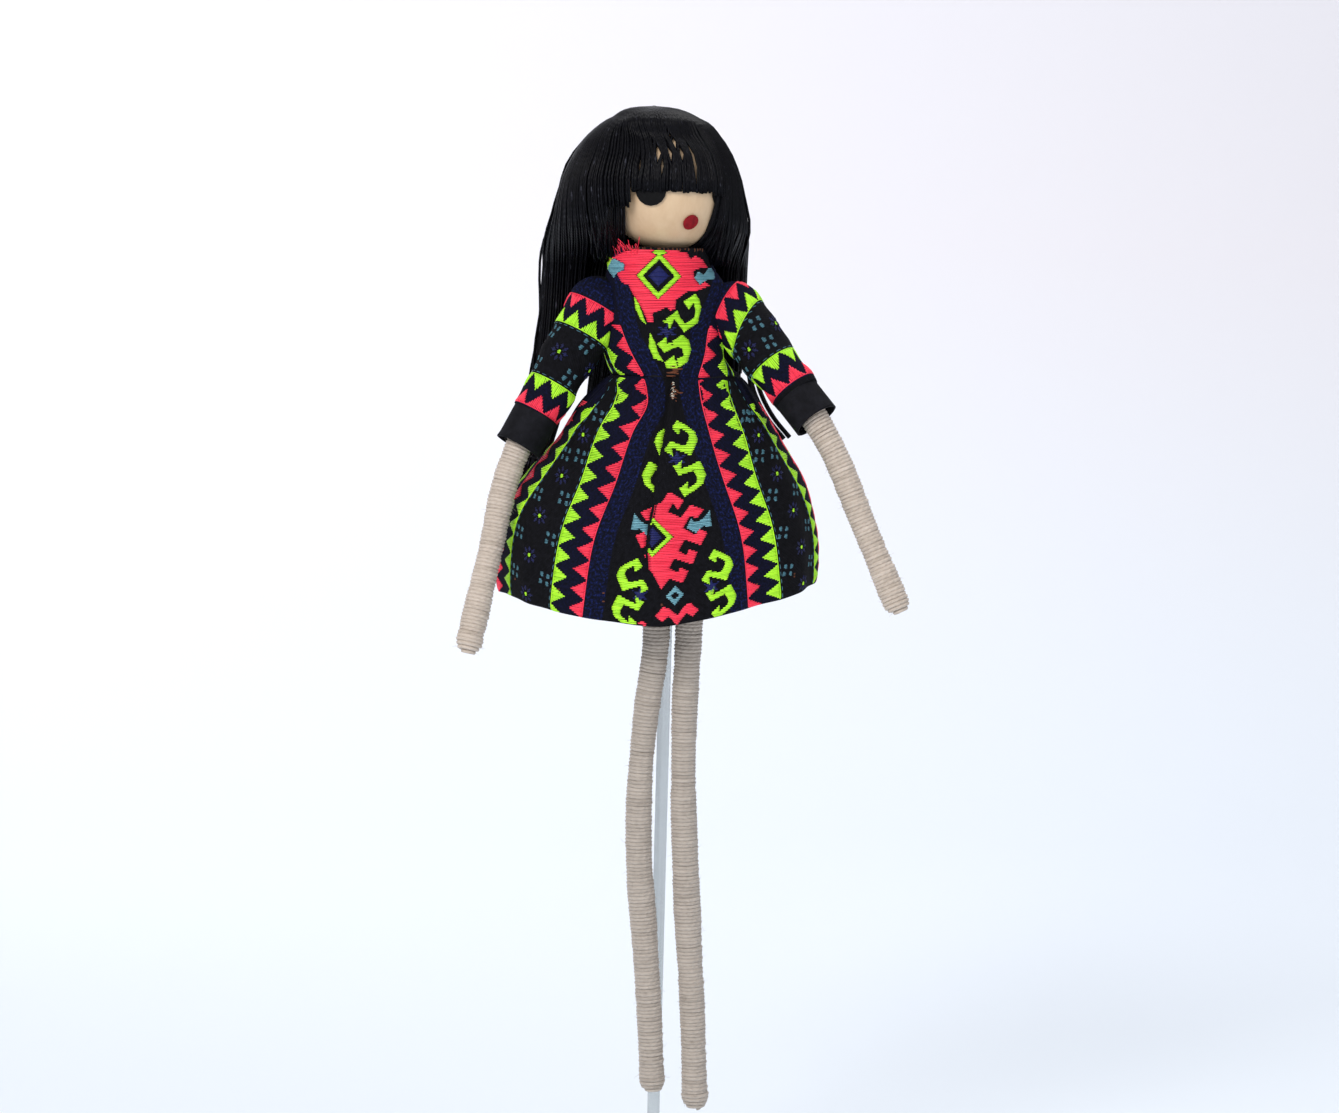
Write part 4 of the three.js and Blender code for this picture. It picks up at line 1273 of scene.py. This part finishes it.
def make_cuff(side):
    cuff_start, cuff_end = cuff_ends(side)

    def cuff_radius(s):
        return SLEEVE_END_RADIUS - 0.1 + 0.25 * smooth(cuff_end - 2.5, cuff_end, s)

    cloth = sleeve_cloth(side, cuff_start, cuff_end - CUFF_TRIM[side], cuff_radius)
    turn = np.linspace(-math.pi, math.pi, cloth.points.shape[1])[None]
    near_end = smooth(cuff_start, cuff_end, cloth.measures)[:, None]
    cloth.push(0.35 * np.sin(3 * turn + 1) * near_end)
    shape = Shape()
    cloth.sheet(shape, np.zeros(cloth.points.shape[:2] + (2,)), CLOTH, 2)
    cuff = shape.piece(f"cuff_{side}_cloth", "cuff", f"arm_{side}", "cuff_cloth", (f"cuff_{side}",))


# ---- Hair -----------------------------------------------------------------------------------

STRAND_RADIUS = 0.56
STRAND_STEP = 5.0
STRAND_SPACING = math.radians(1.55)
LAYERS = (0.0, 0.1, 0.2)
CROWN_Z = 445.0
CROWN_DROP = 1.5
# Heights of the points at the top of each cord.
CROWN_HEIGHTS = [CROWN_Z, 444.8, 444.4, 443.9, 443.2, 442.4, 441.4, 440.1, 438.6, 436.8, 434.6, 432.4]
# The lowest ring of hair round the head, and the top of the lengths that hang from it.
LAST_RING_Z, LOCK_TOP_Z = 381.0, 379.7
# Azimuths of the fringe (radians), and of the side hair that ends at the neck (degrees).
FACE_FROM, FACE_TO = math.radians(-44), math.radians(50)
SIDE_FROM, SIDE_TO = -56, 66
FRINGE_Z, SIDE_END_Z, FACE_SIDE_END_Z = 410.5, 381.5, 383.0
FRINGE_DEPTH = 0.83
HANGS_FROM = 404.0
HAIR_TUCK_Y = -8.0
HAIR_INNER = 25.8
HAIR_SHRINK = 0.03
# Narrow gaps in the fringe: azimuth (degrees), height, half-height, lean (radians per mm) and half-opening
# (radians).
PARTINGS = [(-9.5, 424.6, 6.0, -0.012, 0.068), (1.6, 425.6, 4.5, 0.004, 0.05),
            (10.9, 428.0, 6.5, -0.011, 0.068), (24.6, 422.9, 7.0, 0.0, 0.042),
            (-27, 420.5, 4.0, 0.0, 0.04)]
# Azimuths on the head that each length of hair comes from, and the angles round the length that they go to,
# in degrees.
LOCK_TURNS = {"L": ((-56, -132), (50, -200)), "R": ((66, 138), (-50, 200)), "middle": ((138, 228), (95, 265))}
# Loose outer cords: azimuth in degrees, side, length of hair and start of the wave.
LOOSE_CORDS = [(-96, -1, "L", 0.4), (-101, -1, "L", 1.3), (88, 1, "R", 0.2)]
STRAY_SHIFTS = [(0, 0, 0), (2.3, 0.8, 0.6), (0.6, -0.9, -7)]


def squared(wave):
    """A sine or cosine made fuller, for rings that are rounder than an oval."""
    return np.sign(wave) * np.abs(wave) ** (2 / HAIR_POWER)


def hair_ring(z):
    """Outer hair at one height, by the azimuth about the bead (0 is the front, + is rightwards)."""
    left, right, front, back = rounded(HAIR_TABLE, np.array([z]))[0]
    turn = np.linspace(-math.pi, math.pi, 721)
    x = (left + right) / 2 + (right - left) / 2 * squared(np.sin(turn))
    y = (front + back) / 2 - (back - front) / 2 * squared(np.cos(turn))
    return x, y, turn


def hair_point(z, azimuth, depth):
    """A point between the outer hair (depth 0) and the bead (depth 1)."""
    x, y, turn = hair_ring(z)
    ring_middle = np.array([(x.max() + x.min()) / 2, (y.max() + y.min()) / 2])
    on_ring = np.array([np.interp(azimuth, turn, x), np.interp(azimuth, turn, y)])
    inwards = 0.3 * depth * smooth(CROWN_Z, 443, z)
    closing = 0.22 * smooth(438, CROWN_Z, z) + 0.72 * smooth(444.2, CROWN_Z, z)
    on_ring = on_ring + (ring_middle - on_ring) * (HAIR_SHRINK + inwards + closing)
    on_ring = np.append(on_ring, z - CROWN_DROP * smooth(426, CROWN_Z, z))
    share = smooth(443, 422, z)
    if share == 0:
        return on_ring
    seen = np.unwrap(np.arctan2(x - BEAD_CENTRE[0], -(y - BEAD_CENTRE[1])))
    order = np.argsort(seen)
    reach = np.hypot(x - BEAD_CENTRE[0], y - BEAD_CENTRE[1])[order]
    outer = np.interp(azimuth, seen[order], reach, period=2 * math.pi) * (1 - HAIR_SHRINK)
    inner = math.sqrt(max(HAIR_INNER ** 2 - (z - BEAD_CENTRE[2]) ** 2, 9.0))
    radius = outer + (min(inner, outer) - outer) * depth
    about_bead = np.array([BEAD_CENTRE[0] + radius * math.sin(azimuth),
                           BEAD_CENTRE[1] - radius * math.cos(azimuth), on_ring[2]])
    return on_ring + (about_bead - on_ring) * share


def head_heights(lowest):
    return CROWN_HEIGHTS + list(np.arange(430.0, lowest + STRAND_STEP * 0.4, -STRAND_STEP)) + [lowest]


def parted(azimuth, z):
    """Pushes fringe strands apart round a few narrow gaps at mid-forehead."""
    for gap, height, reach, lean, opening in PARTINGS:
        away = azimuth - math.radians(gap) - lean * (z - height)
        if abs(away) < 0.3:
            strength = math.exp(-((z - height) / reach) ** 2 - abs(away) / 0.07)
            azimuth += math.copysign(opening, away) * strength
    return azimuth


def lock_point(lock, z, angle, reach):
    x, y, width, depth = rounded(LOCKS[lock], np.array([z]))[0]
    return np.array([x + width * reach * math.sin(angle), y - depth * reach * math.cos(angle), z])


def wind(azimuth):
    return (azimuth + math.pi) % (2 * math.pi) - math.pi


def place_in_lock(azimuth, depth, lock):
    """The angle round a length of hair, and the share of its radius, that a cord goes to."""
    (first, last), (start, finish) = LOCK_TURNS[lock]
    turn = math.degrees(azimuth)
    if lock == "middle":
        turn %= 360
    angle = math.radians(start + (turn - first) / (last - first) * (finish - start) + RANDOM.normal(0, 4))
    if lock == "middle" and depth > 0:
        return math.pi - angle, 0.95
    return angle, 0.97 - 1.5 * depth


def strand_path(azimuth, depth, lowest, lock=None, hangs_from=0.0):
    """One hair cord from the crown to its end. Below hangs_from it goes straight down."""
    angle, reach = place_in_lock(azimuth, depth, lock) if lock else (0, 0)
    sway = RANDOM.normal(0, 0.25, 2)
    back_to = HAIR_TUCK_Y + RANDOM.normal(0, 2)
    inward = 0.0
    if lowest > LAST_RING_Z + 10:
        inward = FRINGE_DEPTH * smooth(-0.05, 0.3, min(azimuth - FACE_FROM, FACE_TO - azimuth))
    heights = head_heights(max(lowest, LAST_RING_Z))
    if lock:
        heights += list(np.arange(374.0, lowest + 2, -6.0)) + [lowest]
    path = []
    for z in heights:
        ring_z = max(z, LAST_RING_Z, hangs_from)
        at = parted(azimuth, z) if inward else azimuth
        point = hair_point(ring_z, at, depth + inward * smooth(443, 430, z))
        point[2] -= ring_z - z
        if lock:
            goal = lock_point(lock, min(z, LOCK_TOP_Z), angle, reach)
            point[:2] += (goal - point)[:2] * smooth(400, 376, z)
        elif point[1] < back_to:
            point[1] += (back_to - point[1]) * smooth(403, 378, z)
        point[:2] += sway * smooth(440, 380, z)
        path.append(point)
    return np.array(path)


def cord(shape, path):
    """One hair cord, with its own place in the hair's texture."""
    tube(shape, path, STRAND_RADIUS, 5, RANDOM.uniform(0, 400))


def turn_with_head(piece):
    """Bakes the placement of a length of hair into its mesh."""
    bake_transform(piece)


def lock_of(turn):
    if -132 < turn <= SIDE_FROM:
        return "L"
    return "R" if SIDE_TO <= turn < 138 else "middle"


def cords_all_round(head, long):
    """Layers of cords from the crown: the fringe, the side hair, and behind them the three lengths."""
    for layer, depth in enumerate(LAYERS):
        for azimuth in np.arange(-math.pi, math.pi, STRAND_SPACING) + layer * STRAND_SPACING / 3:
            azimuth = wind(azimuth + RANDOM.normal(0, 0.006))
            turn = math.degrees(azimuth)
            if FACE_FROM < azimuth < FACE_TO:
                if layer == 2:
                    continue
                jag = 6.8 * smooth(-31.0, -33.5, turn) + 1.5 * smooth(38, 47, turn)
                cord(head, strand_path(azimuth, depth, FRINGE_Z - jag + RANDOM.normal(0, 0.4)))
            elif SIDE_FROM < turn < SIDE_TO:
                cord(head, strand_path(azimuth, depth, SIDE_END_Z + RANDOM.uniform(0, 1.5)))
            else:
                lock = lock_of(turn)
                lowest = LOCKS[lock][-1][0] + abs(RANDOM.normal(0, 7))
                if layer == 2 and lock != "middle":
                    lowest += RANDOM.uniform(0, 30)
                cord(long, strand_path(azimuth, depth, lowest, lock))


def cords_beside_face(head):
    """Cords that fill the hair's edges from the outside in to the bead."""
    for turn, first, hangs_from in ((-44.5, 0, HANGS_FROM), (50.5, -2, 0.0)):
        for depth in (0.15, 0.3, 0.45, 0.6, 0.72, 0.84, 0.95):
            for k in range(first if depth > 0.7 else 0, 6):
                azimuth = math.radians(turn + math.copysign(2.0 * k, turn * k))
                low = FACE_SIDE_END_Z + RANDOM.uniform(0, 2)
                cord(head, strand_path(azimuth, depth, low, hangs_from=hangs_from))


def loose_cords(long):
    """Cords that leave the outline here and there."""
    for turn, side, lock, phase in LOOSE_CORDS:
        path = strand_path(math.radians(turn), 0.0, LOCKS[lock][-1][0] + RANDOM.uniform(0, 14), lock)
        wander = 0.2 + 1.5 * np.sin(path[:, 2] / 15.0 + phase) ** 2
        path[:, 0] += side * wander * smooth(434, 418, path[:, 2])
        cord(long, path)


def nape_cords(nape):
    top, last = LOCKS["nape"][0][0], LOCKS["nape"][-1][0]
    for angle in np.arange(0, 2 * math.pi, 0.045):
        heights = np.linspace(top, last + RANDOM.uniform(0, 9), 9)
        cord(nape, [lock_point("nape", z, angle, 0.97) for z in heights])


def make_hair():
    head, long, nape, stray = (Shape() for _ in range(4))
    cords_all_round(head, long)
    cords_beside_face(head)
    loose_cords(long)
    head.piece("hair_cords_head", "hair", "head", "hair_cord",
               ("hair_crown", "hair_fringe", "hair_side_L", "hair_side_R", "hair_back"))
    turn_with_head(long.piece("hair_cords_long", "hair", None, "hair_cord",
                              ("hair_length_L", "hair_length_middle", "hair_length_R")))
    make_hair_shade_sheets()
    nape_cords(nape)
    turn_with_head(nape.piece("hair_cords_nape", "hair", None, "hair_cord"))
    for shift in STRAY_SHIFTS:
        tube(stray, curve_through(np.array(STRAY_PATH, float) + shift, 2.0), 0.95, 6)
    stray.piece("hair_cords_stray", "hair", "torso", "hair_cord", ("hair_stray_strands",))


def make_hair_shade_sheets():
    """Near-black sheets inside the hair: painted shade deep among the cords, which also keeps light from
    showing between them.
    """
    cap = Shape()
    round_head = np.linspace(-math.pi, math.pi, 72, endpoint=False)
    rows = [[hair_point(z, a, 0.3) for a in round_head] for z in (443.9, 442.0, 439.6, 437.6)]
    cap.grid(np.array(rows)[:, ::-1], around=True, caps=True)
    sides = np.linspace(FACE_TO + 0.06, 2 * math.pi + FACE_FROM - 0.06, 60)
    heights = np.arange(438.0, 403.0, -4.0)
    outer, inner = (np.array([[hair_point(z, wind(a), depth) for a in sides] for z in heights])
                    for depth in (0.32, 0.92))
    wall = np.concatenate([outer, inner[:, ::-1]], axis=1)
    cap.grid(wall[:, ::-1], around=True, caps=True)
    cap.piece("hair_shade_sheet_head", "hair_shade_sheet", "head", "hair_cord")
    turn = np.linspace(0, 2 * math.pi, 24, endpoint=False)
    # A dark core inside each length of hair, as painted shade between its cords.
    for lock, rows in LOCKS.items():
        inside = Shape()
        top, bottom = rows[0][0] - (3 if lock == "nape" else 0), rows[-1][0] + 6
        points = [[lock_point(lock, z, a, 0.72) for a in turn] for z in np.linspace(bottom, top, 16)]
        inside.grid(np.array(points), around=True, caps=True)
        turn_with_head(inside.piece(f"hair_shade_sheet_{lock}", "hair_shade_sheet", None, "hair_cord"))


# ---- Bead and rod ---------------------------------------------------------------------------

def lathe(shape, profile, centre, sides):
    """Turns (radius, height) points about an upright axis."""
    profile = np.array(profile, float)
    turn = np.linspace(0, 2 * math.pi, sides, endpoint=False)
    points = np.stack([profile[:, :1] * np.cos(turn), profile[:, :1] * np.sin(turn),
                       np.repeat(profile[:, 1:], sides, axis=1)], axis=2)
    shape.grid(points + np.asarray(centre, float), around=True)


def make_bead():
    """A ball with a bore along it, softened at its two mouths."""
    edge = math.asin((BEAD_HOLE + 0.6) / BEAD_RADIUS)
    rise = np.linspace(-math.pi / 2 + edge, math.pi / 2 - edge, 72)
    lip = BEAD_RADIUS * math.cos(edge)
    profile = [(BEAD_RADIUS * math.cos(a), BEAD_RADIUS * math.sin(a)) for a in rise]
    profile.append((BEAD_HOLE + 0.2, lip - 0.2))
    profile += [(BEAD_HOLE, z) for z in np.linspace(lip - 0.8, -lip + 0.8, 8)]
    profile += [(BEAD_HOLE + 0.2, -lip + 0.2), profile[0]]
    shape = Shape()
    lathe(shape, profile, BEAD_CENTRE, 128)
    shape.piece("bead", "bead", "head", "wood", ("head_bead",))


def make_rod():
    shape = Shape()
    soft = 0.3
    profile = [(0.01, 0), (ROD_RADIUS - soft, 0), (ROD_RADIUS, soft)]
    profile += [(ROD_RADIUS, z) for z in np.linspace(soft + 1, ROD_TOP - soft - 1, 12)]
    profile += [(ROD_RADIUS, ROD_TOP - soft), (ROD_RADIUS - soft, ROD_TOP), (0.01, ROD_TOP)]
    lathe(shape, profile, (0, 0, 0), 48)
    shape.piece("rod", "rod", "torso", "clear_rod", ("stand_rod",))


FLOOR_FROM, BEND_AT, BACKDROP_TOP, STAGE_HALF = -3.2, 1.0, 4.0, 4.0


def make_stage():
    """A floor that curves up into a backdrop."""
    bend = [(math.sin(t), 1 - math.cos(t)) for t in np.linspace(0, math.pi / 2, 17)]
    profile = [(FLOOR_FROM, 0.0), (BEND_AT - 0.1, 0.0)] + [(BEND_AT + y, z) for y, z in bend]
    profile.append((BEND_AT + 1.0, BACKDROP_TOP))
    points = np.array([[(x, y, z) for x in (-STAGE_HALF, STAGE_HALF)] for y, z in profile]) / MM
    shape = Shape()
    shape.grid(points[:, ::-1])
    look = Look("pale_paper", roughness=0.9)
    # The paper is painted bluer near the floor and more neutral higher up: a painted tint of the light, with
    # random tone on top.
    height = look.node("SeparateXYZ", {"Vector": look.place()}).outputs["Z"]
    share = look.node("MapRange", {0: height, 1: 0.0, 2: 0.4}).outputs[0]
    tone = look.math("ADD", share, look.math("MULTIPLY", look.noise(0.6, 2), 0.1))
    look.paint(look.ramp(tone, (0.0, rgb(236, 244, 251)), (1.0, rgb(239, 238, 243))))
    LOOKS["paper"] = look
    shape.piece("backdrop", "paper")


make_camera()
make_light()
make_looks()
make_stage()
make_looks_of_nodes()
make_rod()
make_bead()
make_limbs()
make_skirt()
make_bodice()
make_waist_piping()
for arm_side in "LR":
    make_sleeve(arm_side)
    make_cuff(arm_side)
make_hair()
